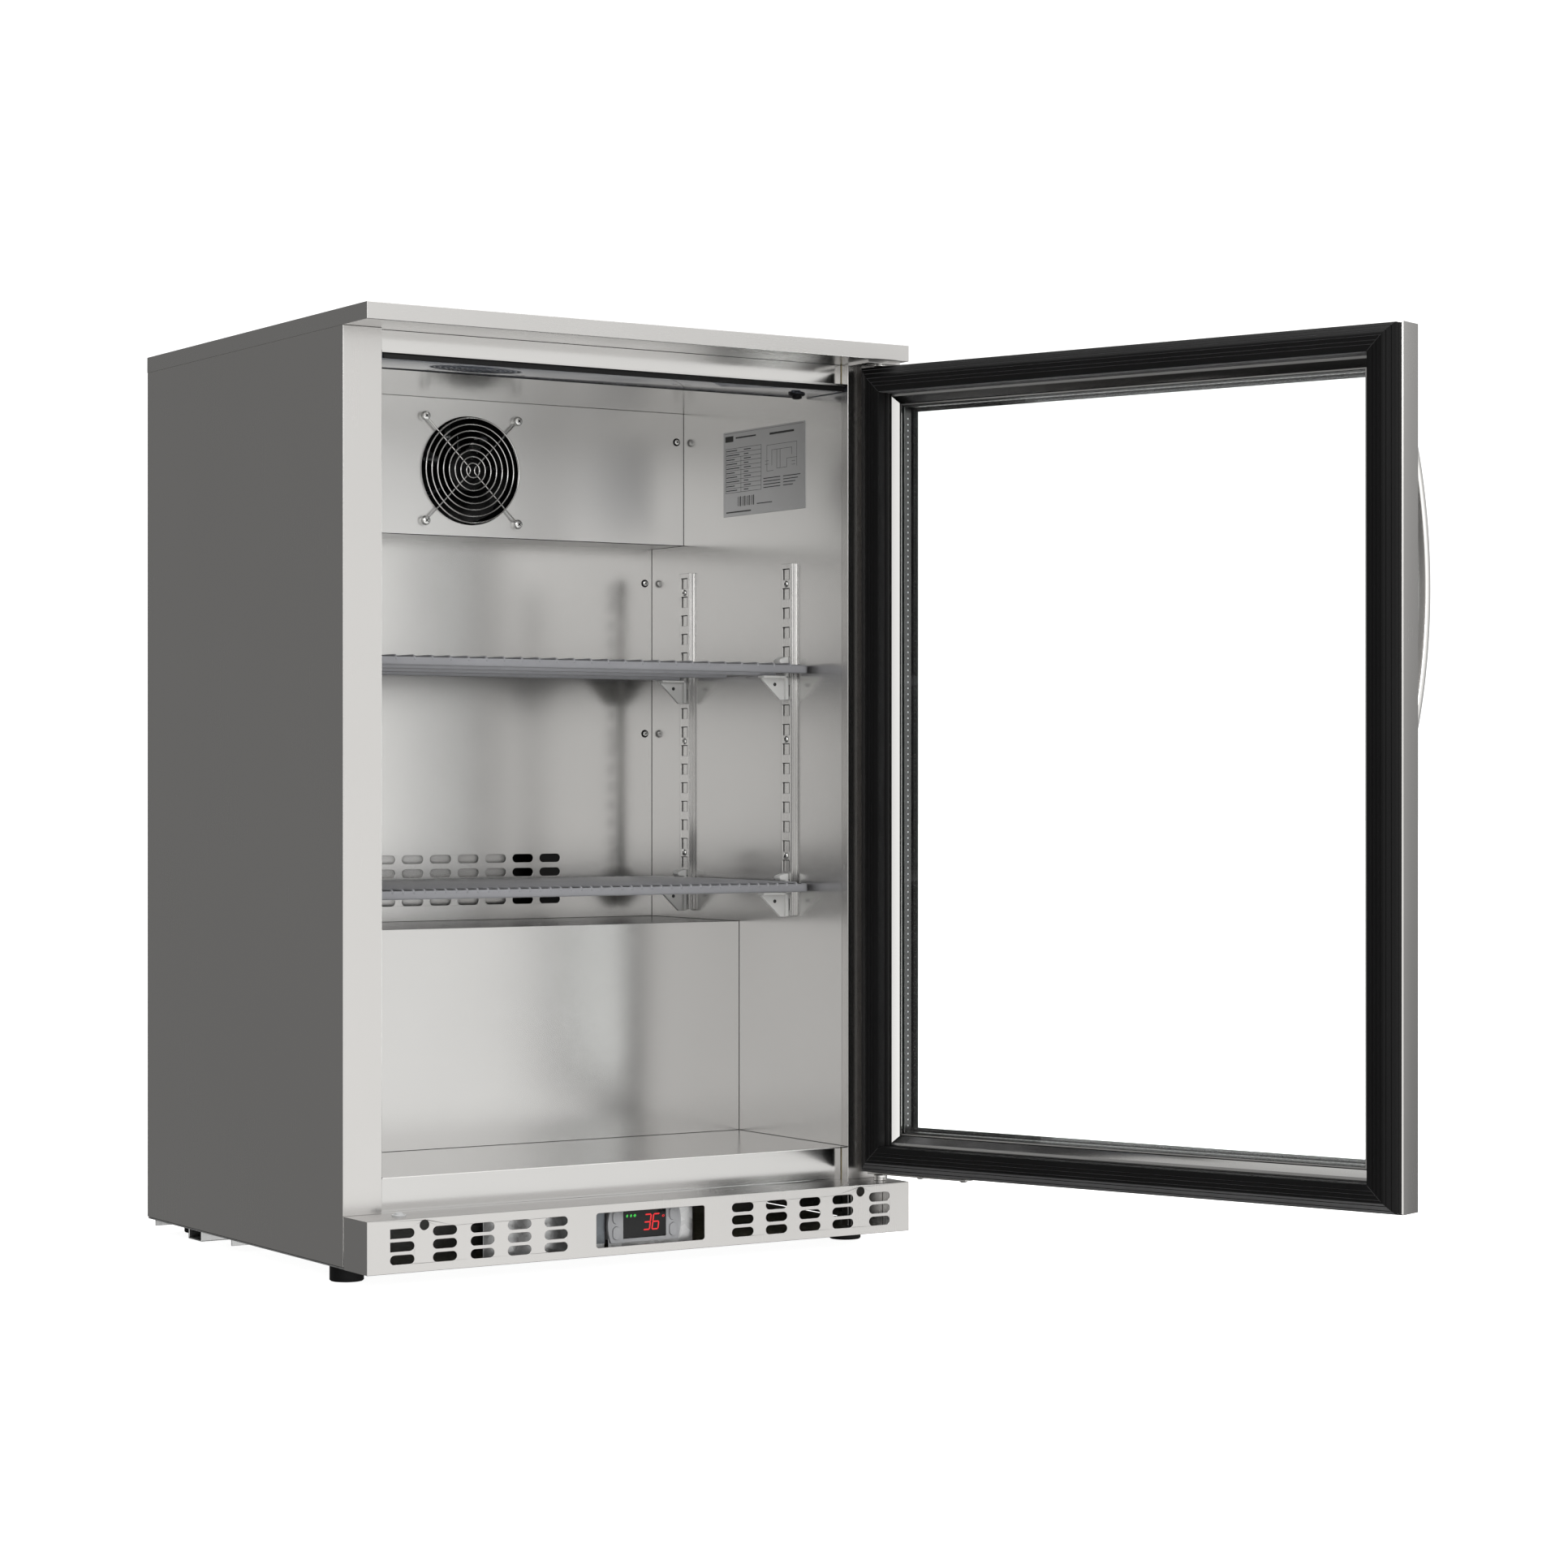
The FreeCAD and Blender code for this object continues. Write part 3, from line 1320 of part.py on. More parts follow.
def door():
    """The glazed door: steel frame, inner profile, gasket, sealed glass unit, handle and bushes."""
    skin = [
        ("0", OUTER_FACE),
        ("door_rail", OUTER_FACE),
        ("door_rail", f"{OUTER_FACE} + sheet"),
        ("sheet", f"{OUTER_FACE} + sheet"),
        ("sheet", f"{INNER_FACE} - sheet"),
        ("6", f"{INNER_FACE} - sheet"),
        ("6", INNER_FACE),
        ("0", INNER_FACE),
    ]
    loose = "bush_radius + running_clearance"
    hang(mitred_frame("door_skin", skin, bush_cutters("skin_bush", loose)), "door_frame")
    inner_glass = f"({INNER_FACE} - glass_depth)"
    unit_back = f"({inner_glass} - 2 * glass_thickness - spacer_depth)"
    profile = [
        ("sheet", f"{OUTER_FACE} + sheet"),
        ("door_rail - 5", f"{OUTER_FACE} + sheet"),
        ("door_rail - 5", unit_back),
        ("glass_inset", unit_back),
        ("glass_inset", inner_glass),
        ("glass_inset + bevel_lip", inner_glass),
        ("glass_inset + bevel_lip", f"{inner_glass} + 0.4"),
        ("29.2", INNER_FACE),
        ("6", INNER_FACE),
        ("6", f"{INNER_FACE} - sheet"),
        ("sheet", f"{INNER_FACE} - sheet"),
    ]
    hang(mitred_frame("door_profile", profile, bush_cutters("profile_bush", loose)), "door_inner_frame")
    gasket = [
        ("1.5", INNER_FACE),
        ("1.5", f"{INNER_FACE} + 12"),
        ("12.5", f"{INNER_FACE} + gasket_height"),
        ("28", f"{INNER_FACE} + gasket_height"),
        ("28", f"{INNER_FACE} + 7"),
        ("25", f"{INNER_FACE} + 5"),
        ("25", f"{INNER_FACE} + 3"),
        ("28", f"{INNER_FACE} + 2"),
        ("28", INNER_FACE),
    ]
    hang(mitred_frame("door_seal", gasket), "door_gasket")
    spacer = [
        ("36", f"{inner_glass} - glass_thickness - spacer_depth"),
        ("42", f"{inner_glass} - glass_thickness - spacer_depth"),
        ("42", f"{inner_glass} - glass_thickness"),
        ("36", f"{inner_glass} - glass_thickness"),
    ]
    hang(mitred_frame("door_spacer", spacer), "glass_spacer")
    pane_x = (f"{FREE_EDGE} + glass_inset", f"{HINGE_EDGE} - glass_inset")
    pane_z = ("door_low + glass_inset", "door_high - glass_inset")
    pane = block("inner_pane", pane_x, (f"{inner_glass} - glass_thickness", inner_glass), pane_z)
    hang(pane, "door_glass_inner")
    pane = block("outer_pane", pane_x, (unit_back, f"{unit_back} + glass_thickness"), pane_z)
    hang(pane, "door_glass_outer")


def door_handle():
    """A bowed bar handle whose two ends meet the door's face."""
    chord = "handle_half_chord"
    radius = f"(({chord} * {chord} + handle_reach * handle_reach) / (2 * handle_reach))"
    centre_y = f"({OUTER_FACE} - handle_reach + {radius})"
    x = f"({FREE_EDGE} + handle_inset - handle_width / 2)"
    spot = (x, centre_y, "handle_height")
    outer = rod("bow_outer", "X", spot, radius, "handle_width")
    spot = (f"{x} - 1", centre_y, "handle_height")
    inner = rod("bow_inner", "X", spot, f"{radius} - handle_thickness", "handle_width + 2")
    bow = cut("bow", outer, [inner])
    reach = block(
        "bow_reach",
        (f"{x} - 1", f"{x} + handle_width + 1"),
        (f"{OUTER_FACE} - handle_reach - 5", OUTER_FACE),
        (f"handle_height - {chord} - 5", f"handle_height + {chord} + 5"),
    )
    hang(common("bow_bar", bow, reach), "door_handle")


def door_fittings():
    """Bushes, washers and the screwed plate under the door's hinge corner."""
    bore = "pin_radius + running_clearance / 2"
    bushes = []
    for name, z in (("low", "door_low"), ("high", "door_high - bush_length")):
        sleeve = rod(f"bush_{name}", "Z", ("hinge_x", "hinge_y", z), "bush_radius", "bush_length")
        hole = rod(f"bush_bore_{name}", "Z", ("hinge_x", "hinge_y", f"{z} - 1"), bore, "bush_length + 2")
        bushes.append(cut(f"bush_sleeve_{name}", sleeve, [hole]))
    washers = []
    plate_low = "(door_low - 2)"
    stack = [
        ("lower", PLINTH_TOP, f"({plate_low} - {PLINTH_TOP}) / 2"),
        ("middle", f"({plate_low} + {PLINTH_TOP}) / 2", f"({plate_low} - {PLINTH_TOP}) / 2"),
        ("upper", "door_high", f"{UNDER_TOP} - 2 - door_high"),
    ]
    for name, z, thickness in stack:
        disc = rod(f"washer_{name}", "Z", ("hinge_x", "hinge_y", z), "washer_radius", thickness)
        spot = ("hinge_x", "hinge_y", f"{z} - 1")
        hole = rod(f"washer_bore_{name}", "Z", spot, bore, f"{thickness} + 2")
        washers.append(cut(f"washer_ring_{name}", disc, [hole]))
    hang(grouped("bush_set", bushes + washers), "hinge_bushes")
    plate = block(
        "door_plate_blank",
        (f"{HINGE_EDGE} - 120", f"{HINGE_EDGE} - 1"),
        (f"{INNER_FACE} - 16", f"{INNER_FACE} - 0.5"),
        (plate_low, "door_low"),
    )
    hole = rod("door_plate_hole", "Z", ("hinge_x", "hinge_y", f"{plate_low} - 1"), bore, "4")
    plate = cut("door_plate", plate, [hole])
    heads = [
        rod(
            f"door_plate_screw_{i}",
            "Z",
            (f"{HINGE_EDGE} - {inset}", f"{INNER_FACE} - 9", f"{plate_low} - 2"),
            "3.6",
            "2",
        )
        for i, inset in enumerate((112, 60))
    ]
    hang(grouped("door_plate_set", [plate] + heads), "door_hinge_plate")


# --- assembly ---------------------------------------------------------------------------

worktop()
side_panels()
rear_panel_and_grille()
base_pan()
cross_rail()
insulation()
liner()
front_frame()
plinth_grille()
controller()
evaporator_cover()
duct_panel()
evaporator()
evaporator_fan()
guard_screws = fan_guard()
lamp()
keep(grouped("pilasters", list(pilasters())), "shelf_pilasters")
shelf_clips()
wire_shelf("upper")
wire_shelf("lower")
interior_screws(guard_screws)
rating_plate()
compressor()
condenser()
pipework()
drip_tray()
cable_gland()
feet()
hinge_brackets()
door()
door_handle()
door_fittings()

doc.recompute()

# --- checks and export ------------------------------------------------------------------

for thing in doc.Objects:
    if "Invalid" in thing.State or "Error" in thing.State:
        raise RuntimeError(f"{thing.Name} failed: {thing.State}")
for shape in subparts:
    if shape.Shape.isNull() or not shape.Shape.isValid() or not shape.Shape.Solids:
        raise RuntimeError(f"{shape.Label} has no valid solid")
for shape in subparts:
    shape.Shape.exportStep(f"parts/{shape.Label}.step")
    print(f"{shape.Label:24s} {len(shape.Shape.Solids):3d} solids {shape.Shape.Volume / 1000:10.2f} cm3")
print(len(subparts), "sub-parts")
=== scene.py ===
# Looks of the undercounter refrigerator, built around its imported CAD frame.
# Lengths are in metres, in the CAD's own frame: floor at z 0, -Y to the front, +X to the hinge.

import json
import math

import bmesh
import bpy
from mathutils import Matrix, Vector


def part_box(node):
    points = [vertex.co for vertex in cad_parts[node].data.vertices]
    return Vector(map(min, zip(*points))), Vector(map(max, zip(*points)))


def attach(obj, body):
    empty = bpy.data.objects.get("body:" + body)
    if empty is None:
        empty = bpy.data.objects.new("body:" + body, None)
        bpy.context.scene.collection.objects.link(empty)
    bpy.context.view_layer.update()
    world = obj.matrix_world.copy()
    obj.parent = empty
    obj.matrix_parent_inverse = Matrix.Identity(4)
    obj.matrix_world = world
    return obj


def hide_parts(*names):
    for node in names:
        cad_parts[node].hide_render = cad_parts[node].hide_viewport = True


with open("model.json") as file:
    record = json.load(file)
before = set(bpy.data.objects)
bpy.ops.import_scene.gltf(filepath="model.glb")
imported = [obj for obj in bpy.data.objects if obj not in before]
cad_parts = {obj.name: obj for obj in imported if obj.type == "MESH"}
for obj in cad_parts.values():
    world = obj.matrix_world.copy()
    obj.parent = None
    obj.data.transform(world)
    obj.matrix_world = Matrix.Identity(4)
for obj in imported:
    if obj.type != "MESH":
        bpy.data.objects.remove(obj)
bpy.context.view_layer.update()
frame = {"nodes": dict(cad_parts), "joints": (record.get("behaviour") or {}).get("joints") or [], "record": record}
nodes = frame["nodes"]

MM = 0.001
SMOOTH_ANGLE = math.radians(32)
FOLD_ANGLE = math.radians(40)
SOFT_ANGLE = math.radians(25)
SIDES = (-1, 1)
WIRE_SIDES = 8

SHEET = 1.2 * MM
PILASTER_PLACES = (-98 * MM, 103 * MM)
PILASTER_SCREW_HEIGHTS = (667.6 * MM, 507.6 * MM, 387.6 * MM)
PANEL_SCREW_X = 251 * MM
COVER_SCREW_HEIGHT = 830.6 * MM
DUCT_SCREW_HEIGHTS = (681.3 * MM, 516.7 * MM)
DUCT_SLOT_PITCH = 33 * MM
DUCT_SLOT_HEIGHTS = (337.6 * MM, 382 * MM)
GUARD_CORNER = 54 * MM
CLIP_HALF_WIDTH = 6 * MM
CROSSBAR_PLACES = (-90 * MM, 5 * MM, 100 * MM)
FRONT = (0, -1, 0)
DOWN = (0, 0, -1)


def millimetres(pairs, offset=0.0):
    """Section pairs in metres, with the second value from an offset."""
    return [(a * MM, offset + b * MM) for a, b in pairs]


# --- the door's swing ---

HINGE = next(j for j in frame["joints"] if j["name"] == "door_hinge")
OPEN_ANGLE = math.radians(-HINGE["range_deg"][0])
PIVOT = Vector(HINGE["pos_m"])
SWING = Matrix.Translation(PIVOT) @ Matrix.Rotation(OPEN_ANGLE, 4, "Z") @ Matrix.Translation(-PIVOT)
UNSWING = SWING.inverted()


def shut_box(node):
    """Lowest and highest corner of a door node as it is with the door shut."""
    points = [UNSWING @ v.co for v in nodes[node].data.vertices]
    low = Vector([min(p[i] for p in points) for i in range(3)])
    high = Vector([max(p[i] for p in points) for i in range(3)])
    return low, high


# --- materials ---

def start_material(name, **sockets):
    """A new material with its shader's plain values set."""
    material = bpy.data.materials.new(name)
    material.use_nodes = True
    shader = material.node_tree.nodes["Principled BSDF"]
    for socket, value in sockets.items():
        shader.inputs[socket.replace("_", " ")].default_value = value
    return material, material.node_tree, shader


def node(tree, kind, links=(), **settings):
    """Adds a shader node, sets its properties and links its inputs."""
    made = tree.nodes.new(kind)
    for key, value in settings.items():
        setattr(made, key, value)
    for socket, source in dict(links).items():
        if hasattr(source, "is_output"):
            tree.links.new(source, made.inputs[socket])
        else:
            made.inputs[socket].default_value = source
    return made


def noise(tree, stretch, detail=4.0, rough=0.6):
    """Noise in object coordinates, with its frequency per metre along each axis."""
    where = node(tree, "ShaderNodeTexCoord").outputs["Object"]
    mapped = node(tree, "ShaderNodeMapping", {"Vector": where, "Scale": stretch}).outputs["Vector"]
    links = {"Vector": mapped, "Scale": 1.0, "Detail": detail, "Roughness": rough}
    return node(tree, "ShaderNodeTexNoise", links).outputs["Fac"]


def spread(tree, value, low, high, start=0.3, end=0.7):
    """Maps noise between two numbers."""
    links = {"Value": value, "From Min": start, "From Max": end, "To Min": low, "To Max": high}
    return node(tree, "ShaderNodeMapRange", links).outputs["Result"]


def blend(tree, value, first, second):
    """A colour that changes from first to second with value."""
    mixed = node(tree, "ShaderNodeMix", data_type="RGBA")
    tree.links.new(value, mixed.inputs["Factor"])
    mixed.inputs["A"].default_value = (*first, 1)
    mixed.inputs["B"].default_value = (*second, 1)
    return mixed.outputs["Result"]


def relief(tree, shader, height, strength, distance):
    """Bump from a height."""
    links = {"Height": height, "Strength": strength, "Distance": distance}
    bump = node(tree, "ShaderNodeBump", links)
    tree.links.new(bump.outputs["Normal"], shader.inputs["Normal"])


def tint(tree, shader, value, colour, contrast):
    """A base colour that is a little darker to a little lighter with value."""
    darker, lighter = [[min(1.0, c * (1 + side * contrast)) for c in colour] for side in SIDES]
    tree.links.new(blend(tree, value, darker, lighter), shader.inputs["Base Color"])


def brushed_metal(name, colour, roughness, grain, depth=0.003, contrast=0.01):
    """Sheet metal with a fine brushed grain, soft smudges and a slightly uneven tone."""
    material, tree, shader = start_material(name, Metallic=1.0)
    tone = spread(tree, noise(tree, (3.1, 3.1, 3.1), 3), 0, 1)
    tint(tree, shader, tone, colour, contrast)
    lines = noise(tree, grain, 5, 0.7)
    smudges = spread(tree, noise(tree, (9, 9, 9), 5), -0.015, 0.015)
    fine = spread(tree, lines, roughness - 0.012, roughness + 0.012)
    both = node(tree, "ShaderNodeMath", {0: fine, 1: smudges}, operation="ADD").outputs[0]
    tree.links.new(both, shader.inputs["Roughness"])
    relief(tree, shader, lines, depth, 0.00006)
    return material


def spangled_metal(name, colour, roughness):
    """Galvanised sheet, whose zinc shows as irregular crystals."""
    material, tree, shader = start_material(name, Metallic=1.0)
    where = node(tree, "ShaderNodeTexCoord").outputs["Object"]
    cells = node(tree, "ShaderNodeTexVoronoi", {"Vector": where, "Scale": 160.0})
    grey = node(tree, "ShaderNodeSeparateColor", {"Color": cells.outputs["Color"]}).outputs[0]
    tint(tree, shader, grey, colour, 0.18)
    tree.links.new(spread(tree, grey, roughness - 0.06, roughness + 0.1, 0, 1), shader.inputs["Roughness"])
    relief(tree, shader, noise(tree, (260, 260, 260)), 0.1, 0.0003)
    return material


def moulded(name, colour, roughness, grain=900, depth=0.08, specks=0.08, **sockets):
    """Moulded plastic, rubber or paint with a fine surface grain and a slightly uneven tone."""
    material, tree, shader = start_material(name, **sockets)
    tone = spread(tree, noise(tree, (14, 14, 14), 5), 0, 1)
    tint(tree, shader, tone, colour, specks)
    fine = noise(tree, (grain, grain, grain), 3)
    tree.links.new(spread(tree, fine, roughness - 0.04, roughness + 0.06), shader.inputs["Roughness"])
    relief(tree, shader, fine, depth, 0.00004)
    return material


def painted_light_by_lean(material, start, end, first, last):
    """Multiplies a material's colour by how far the surface faces down (-1) or up (1): painted light and shade."""
    tree = material.node_tree
    base = tree.nodes["Principled BSDF"].inputs["Base Color"]
    normal = node(tree, "ShaderNodeNewGeometry").outputs["Normal"]
    lean = node(tree, "ShaderNodeSeparateXYZ", {"Vector": normal}).outputs["Z"]
    # tone here is painted light and shade: a factor on the colour from the surface's lean.
    tone = spread(tree, lean, first, last, start, end)
    links = {0: base.links[0].from_socket, 1: tone}
    painted_colour = node(tree, "ShaderNodeVectorMath", links, operation="MULTIPLY")
    tree.links.new(painted_colour.outputs["Vector"], base)


def seen_directly(tree):
    """One where the viewer looks at a surface, directly or through glass, and zero elsewhere."""
    path = node(tree, "ShaderNodeLightPath").outputs
    either = {0: path["Is Camera Ray"], 1: path["Is Transmission Ray"]}
    return node(tree, "ShaderNodeMath", either, operation="MAXIMUM").outputs[0]


def clear_glass(name):
    """Float glass with a faint film of dust."""
    material, tree, shader = start_material(name, Base_Color=(0.985, 1.0, 0.993, 1), IOR=1.45)
    shader.inputs["Transmission Weight"].default_value = 1.0
    tree.links.new(spread(tree, noise(tree, (6, 6, 6)), 0.0, 0.015), shader.inputs["Roughness"])
    return material


def glowing(name, colour, strength):
    """A lit segment or lamp, with a slightly uneven glow."""
    material, tree, shader = start_material(name, Base_Color=(0.02, 0.02, 0.02, 1), Roughness=0.4)
    shader.inputs["Emission Color"].default_value = (*colour, 1)
    glow = spread(tree, noise(tree, (700, 700, 700)), strength * 0.9, strength)
    tree.links.new(glow, shader.inputs["Emission Strength"])
    return material


def wood_board(name):
    """Pressed board with long pale and dark chips."""
    material, tree, shader = start_material(name, Roughness=0.8)
    chips = noise(tree, (40, 260, 260), 5, 0.7)
    colours = blend(tree, spread(tree, chips, 0, 1), (0.32, 0.22, 0.13), (0.62, 0.48, 0.3))
    tree.links.new(colours, shader.inputs["Base Color"])
    relief(tree, shader, chips, 0.3, 0.0005)
    return material


UPRIGHT_GRAIN = (600, 600, 6)
ACROSS_GRAIN = (6, 600, 600)

METALS = {
    "stainless": ((0.62, 0.61, 0.6), 0.26, UPRIGHT_GRAIN),
    "worktop_steel": ((0.62, 0.612, 0.603), 0.28, ACROSS_GRAIN),
    "satin_liner": ((0.7, 0.695, 0.687), 0.33, ACROSS_GRAIN),
    "liner": ((0.665, 0.66, 0.652), 0.2, ACROSS_GRAIN),
    "polished_liner": ((0.68, 0.674, 0.665), 0.13, ACROSS_GRAIN),
    "sill_steel": ((0.6, 0.595, 0.588), 0.13, ACROSS_GRAIN),
    "step_steel": ((0.6, 0.595, 0.588), 0.2, ACROSS_GRAIN),
    # Painted light: the liner floor is the same steel in a much lighter colour, for the light on its upward face.
    "floor_steel_painted_light": ((0.86, 0.853, 0.843), 0.2, ACROSS_GRAIN),
    "aluminium": ((0.78, 0.79, 0.8), 0.3, (300, 300, 300)),
    "wire": ((0.6, 0.595, 0.585), 0.2, (400, 400, 400)),
    "screw": ((0.66, 0.66, 0.65), 0.2, (500, 500, 500)),
    "label": ((0.47, 0.473, 0.48), 0.36, ACROSS_GRAIN),
    "copper": ((0.8, 0.42, 0.26), 0.28, (200, 200, 200)),
    "hinge_steel": ((0.7, 0.695, 0.685), 0.14, (400, 400, 400)),
    "door_profile": ((0.92, 0.914, 0.903), 0.14, UPRIGHT_GRAIN),
    "spacer": ((0.08, 0.08, 0.079), 0.36, UPRIGHT_GRAIN),
    "handle_steel": ((0.9, 0.89, 0.877), 0.17, UPRIGHT_GRAIN),
}
PLASTICS = {
    "foam": ((0.78, 0.7, 0.45), 0.9, 500, 0.5),
    "black_plastic": ((0.008, 0.008, 0.0085), 0.45, 1200, 0.03),
    "foot_plastic": ((0.006, 0.006, 0.0065), 0.5),
    "grey_plastic": ((0.38, 0.385, 0.4), 0.4, 1500, 0.05),
    "white_plastic": ((0.62, 0.62, 0.61), 0.45, 1200, 0.03),
    "clear_plastic": ((0.5, 0.505, 0.51), 0.2, 600, 0.02),
    "display": ((0.006, 0.006, 0.007), 0.1, 600, 0.01),
    "shelf_coating": ((0.25, 0.252, 0.268), 0.36, 420, 0.06),
    "black_paint": ((0.018, 0.018, 0.019), 0.34, 200, 0.15),
    "rubber": ((0.03, 0.03, 0.03), 0.6),
    "gasket": ((0.0065, 0.0065, 0.0067), 0.5, 700, 0.01),
    "gasket_weld": ((0.03, 0.03, 0.031), 0.5, 700, 0.04),
    "black_gloss": ((0.003, 0.003, 0.0033), 0.3, 500, 0.01),
    "joint_shadow": ((0.02, 0.02, 0.02), 0.8, 500, 0.05),
    "printed_ink": ((0.03, 0.03, 0.03), 0.5),
}
USUAL_SHINE = 0.5
SHINE = {
    "black_plastic": 0.2, "foot_plastic": 0.2, "display": 0.3, "gasket": 0.12, "black_gloss": 0.15,
    "joint_shadow": 0.1,
}
MATERIALS = {
    # Painted shade: a dark copy of the galvanised steel, for the strip of shield beside the controller.
    "shaded_steel": spangled_metal("shaded_steel", (0.17, 0.185, 0.2), 0.4),
    "galvanised": spangled_metal("galvanised", (0.6, 0.605, 0.61), 0.34),
    "board": wood_board("board"),
    "glass": clear_glass("glass"),
    "lamp_lens": moulded(
        "lamp_lens", (0.13, 0.145, 0.18), 0.08, 400, 0.01, Coat_Weight=0.4, Coat_Roughness=0.04),
    "red_light": glowing("red_light", (0.8, 0.006, 0.012), 1.15),
    "green_light": glowing("green_light", (0.05, 0.7, 0.08), 0.9),
}
for name, look in METALS.items():
    MATERIALS[name] = brushed_metal(name, *look)
for name, look in PLASTICS.items():
    MATERIALS[name] = moulded(name, *look, Specular_IOR_Level=SHINE.get(name, USUAL_SHINE))
# Painted light: the gasket's downward faces are made up to fourteen times lighter, as light bounced up from the
# floor.
painted_light_by_lean(MATERIALS["gasket"], -0.5, -0.35, 14.0, 1.0)
# Painted shade: the door profile's downward faces are darkened to 0.3 of their colour.
painted_light_by_lean(MATERIALS["door_profile"], -0.2, -0.05, 0.3, 1.0)
# Painted shade: the spacer's downward faces are darkened to 0.3 of their colour.
painted_light_by_lean(MATERIALS["spacer"], -0.5, -0.3, 0.3, 1.0)
SLOT_OF = {part["node"]: part["material_slot"] for part in frame["record"]["subparts"]}


def paint(thing, material_name):
    """Gives an object one material in all its slots."""
    material = MATERIALS[material_name]
    if not thing.material_slots:
        thing.data.materials.append(material)
    for each in thing.material_slots:
        each.material = material


OWN_LOOKS = {
    "worktop": "worktop_steel", "evaporator_cover": "satin_liner", "header_rail": "polished_liner",
    "sill_rail": "sill_steel", "liner_step": "step_steel", "liner_floor": "floor_steel_painted_light",
    "liner_walls": "liner", "liner_ceiling": "liner",
}
for label, thing in nodes.items():
    paint(thing, OWN_LOOKS.get(label, SLOT_OF[label]))

EDGES = {
    "worktop": 0.5, "left_side_panel": 0.5, "right_side_panel": 0.5, "rear_panel": 0.3, "rear_grille": 0.3,
    "plinth_grille": 0.35, "header_rail": 0.3, "sill_rail": 0.3, "liner_floor": 0.2, "liner_step": 0.4,
    "evaporator_cover": 0.4, "back_duct_panel": 0.25, "base_pan": 0.3, "base_cross_rail": 0.8,
    "controller_bezel": 0.4, "button_up": 0.5, "button_down": 0.5, "button_set": 0.5, "button_standby": 0.5,
}
for label, width in EDGES.items():
    thing = nodes[label]
    thing.modifiers.new("join", "WELD").merge_threshold = 1e-5
    rounding = thing.modifiers.new("fold", "BEVEL")
    rounding.width = width * MM
    rounding.segments = 2
    rounding.limit_method = "ANGLE"
    rounding.angle_limit = FOLD_ANGLE
    rounding.harden_normals = True
    thing.modifiers.new("shading", "WEIGHTED_NORMAL").keep_sharp = True

# --- mesh helpers ---

def finish_piece(name, bm, material, replaced=(), body="cabinet"):
    """Turns mesh data into a piece that rides on a CAD body and takes a material."""
    bmesh.ops.remove_doubles(bm, verts=bm.verts, dist=1e-6)
    bmesh.ops.recalc_face_normals(bm, faces=bm.faces)
    mesh = bpy.data.meshes.new(name)
    bm.to_mesh(mesh)
    bm.free()
    mesh.shade_smooth()
    mesh.set_sharp_from_angle(angle=SMOOTH_ANGLE)
    piece = bpy.data.objects.new(name, mesh)
    bpy.context.scene.collection.objects.link(piece)
    paint(piece, material)
    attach(piece, body)
    if replaced:
        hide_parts(*replaced)


def skin(bm, loops, closed=False):
    """Joins loops of points with faces, and caps the ends of an open run."""
    rows = [[bm.verts.new(p) for p in loop] for loop in loops]
    count = len(rows[0])
    pairs = list(zip(rows, rows[1:]))
    if closed:
        pairs.append((rows[-1], rows[0]))
    for first, second in pairs:
        for i in range(count):
            j = (i + 1) % count
            bm.faces.new((first[i], first[j], second[j], second[i]))
    if not closed:
        bm.faces.new(list(reversed(rows[0])))
        bm.faces.new(rows[-1])


def sweep(bm, path, section, up=(0, 0, 1), closed=False, scales=None):
    """Carries a flat section of (side, up) pairs along a path."""
    count = len(path)
    path = [Vector(p) for p in path]
    lift = Vector(up)
    loops = []
    for i, point in enumerate(path):
        before = path[i - 1] if i or closed else point
        after = path[(i + 1) % count] if i < count - 1 or closed else point
        along = (after - before).normalized()
        lift = (lift - along * lift.dot(along)).normalized()
        side = along.cross(lift)
        size = scales[i] if scales else 1.0
        loops.append([point + side * (u * size) + lift * (v * size) for u, v in section])
    skin(bm, loops, closed)


def circle(radius, sides):
    """Points of a round section."""
    turn = 2 * math.pi / sides
    return [(radius * math.cos(i * turn), radius * math.sin(i * turn)) for i in range(sides)]


def rounded_rectangle(width, height, radius, steps=3):
    """Points of a section with round corners, about its middle."""
    points = []
    for cx, cy, start in ((1, 1, 0), (-1, 1, 90), (-1, -1, 180), (1, -1, 270)):
        for k in range(steps + 1):
            angle = math.radians(start + 90 * k / steps)
            x = cx * (width / 2 - radius) + radius * math.cos(angle)
            y = cy * (height / 2 - radius) + radius * math.sin(angle)
            points.append((x, y))
    return points


def wire(bm, path, radius, up):
    """A round wire with domed ends."""
    path = [Vector(p) for p in path]
    scales = [1.0] * len(path)
    start, end = path[0], path[-1]
    outward = (path[0] - path[1]).normalized()
    onward = (path[-1] - path[-2]).normalized()
    for angle in (40, 75):
        reach = radius * math.sin(math.radians(angle))
        size = math.cos(math.radians(angle))
        path = [start + outward * reach] + path + [end + onward * reach]
        scales = [size] + scales + [size]
    sweep(bm, path, circle(radius, WIRE_SIDES), up, False, scales)


def hoop(bm, centre, radius, thickness, steps=72):
    """A ring of wire about the Y axis."""
    turn = 2 * math.pi / steps
    angles = [i * turn for i in range(steps)]
    path = [centre + Vector((radius * math.cos(a), 0, radius * math.sin(a))) for a in angles]
    sweep(bm, path, circle(thickness, WIRE_SIDES), (0, 1, 0), True)


def merge_in(bm, other, matrix=None):
    """Adds another mesh to this one and frees it."""
    if matrix is not None:
        bmesh.ops.transform(other, matrix=matrix, verts=other.verts)
    mesh = bpy.data.meshes.new("scratch")
    other.to_mesh(mesh)
    other.free()
    bm.from_mesh(mesh)
    bpy.data.meshes.remove(mesh)


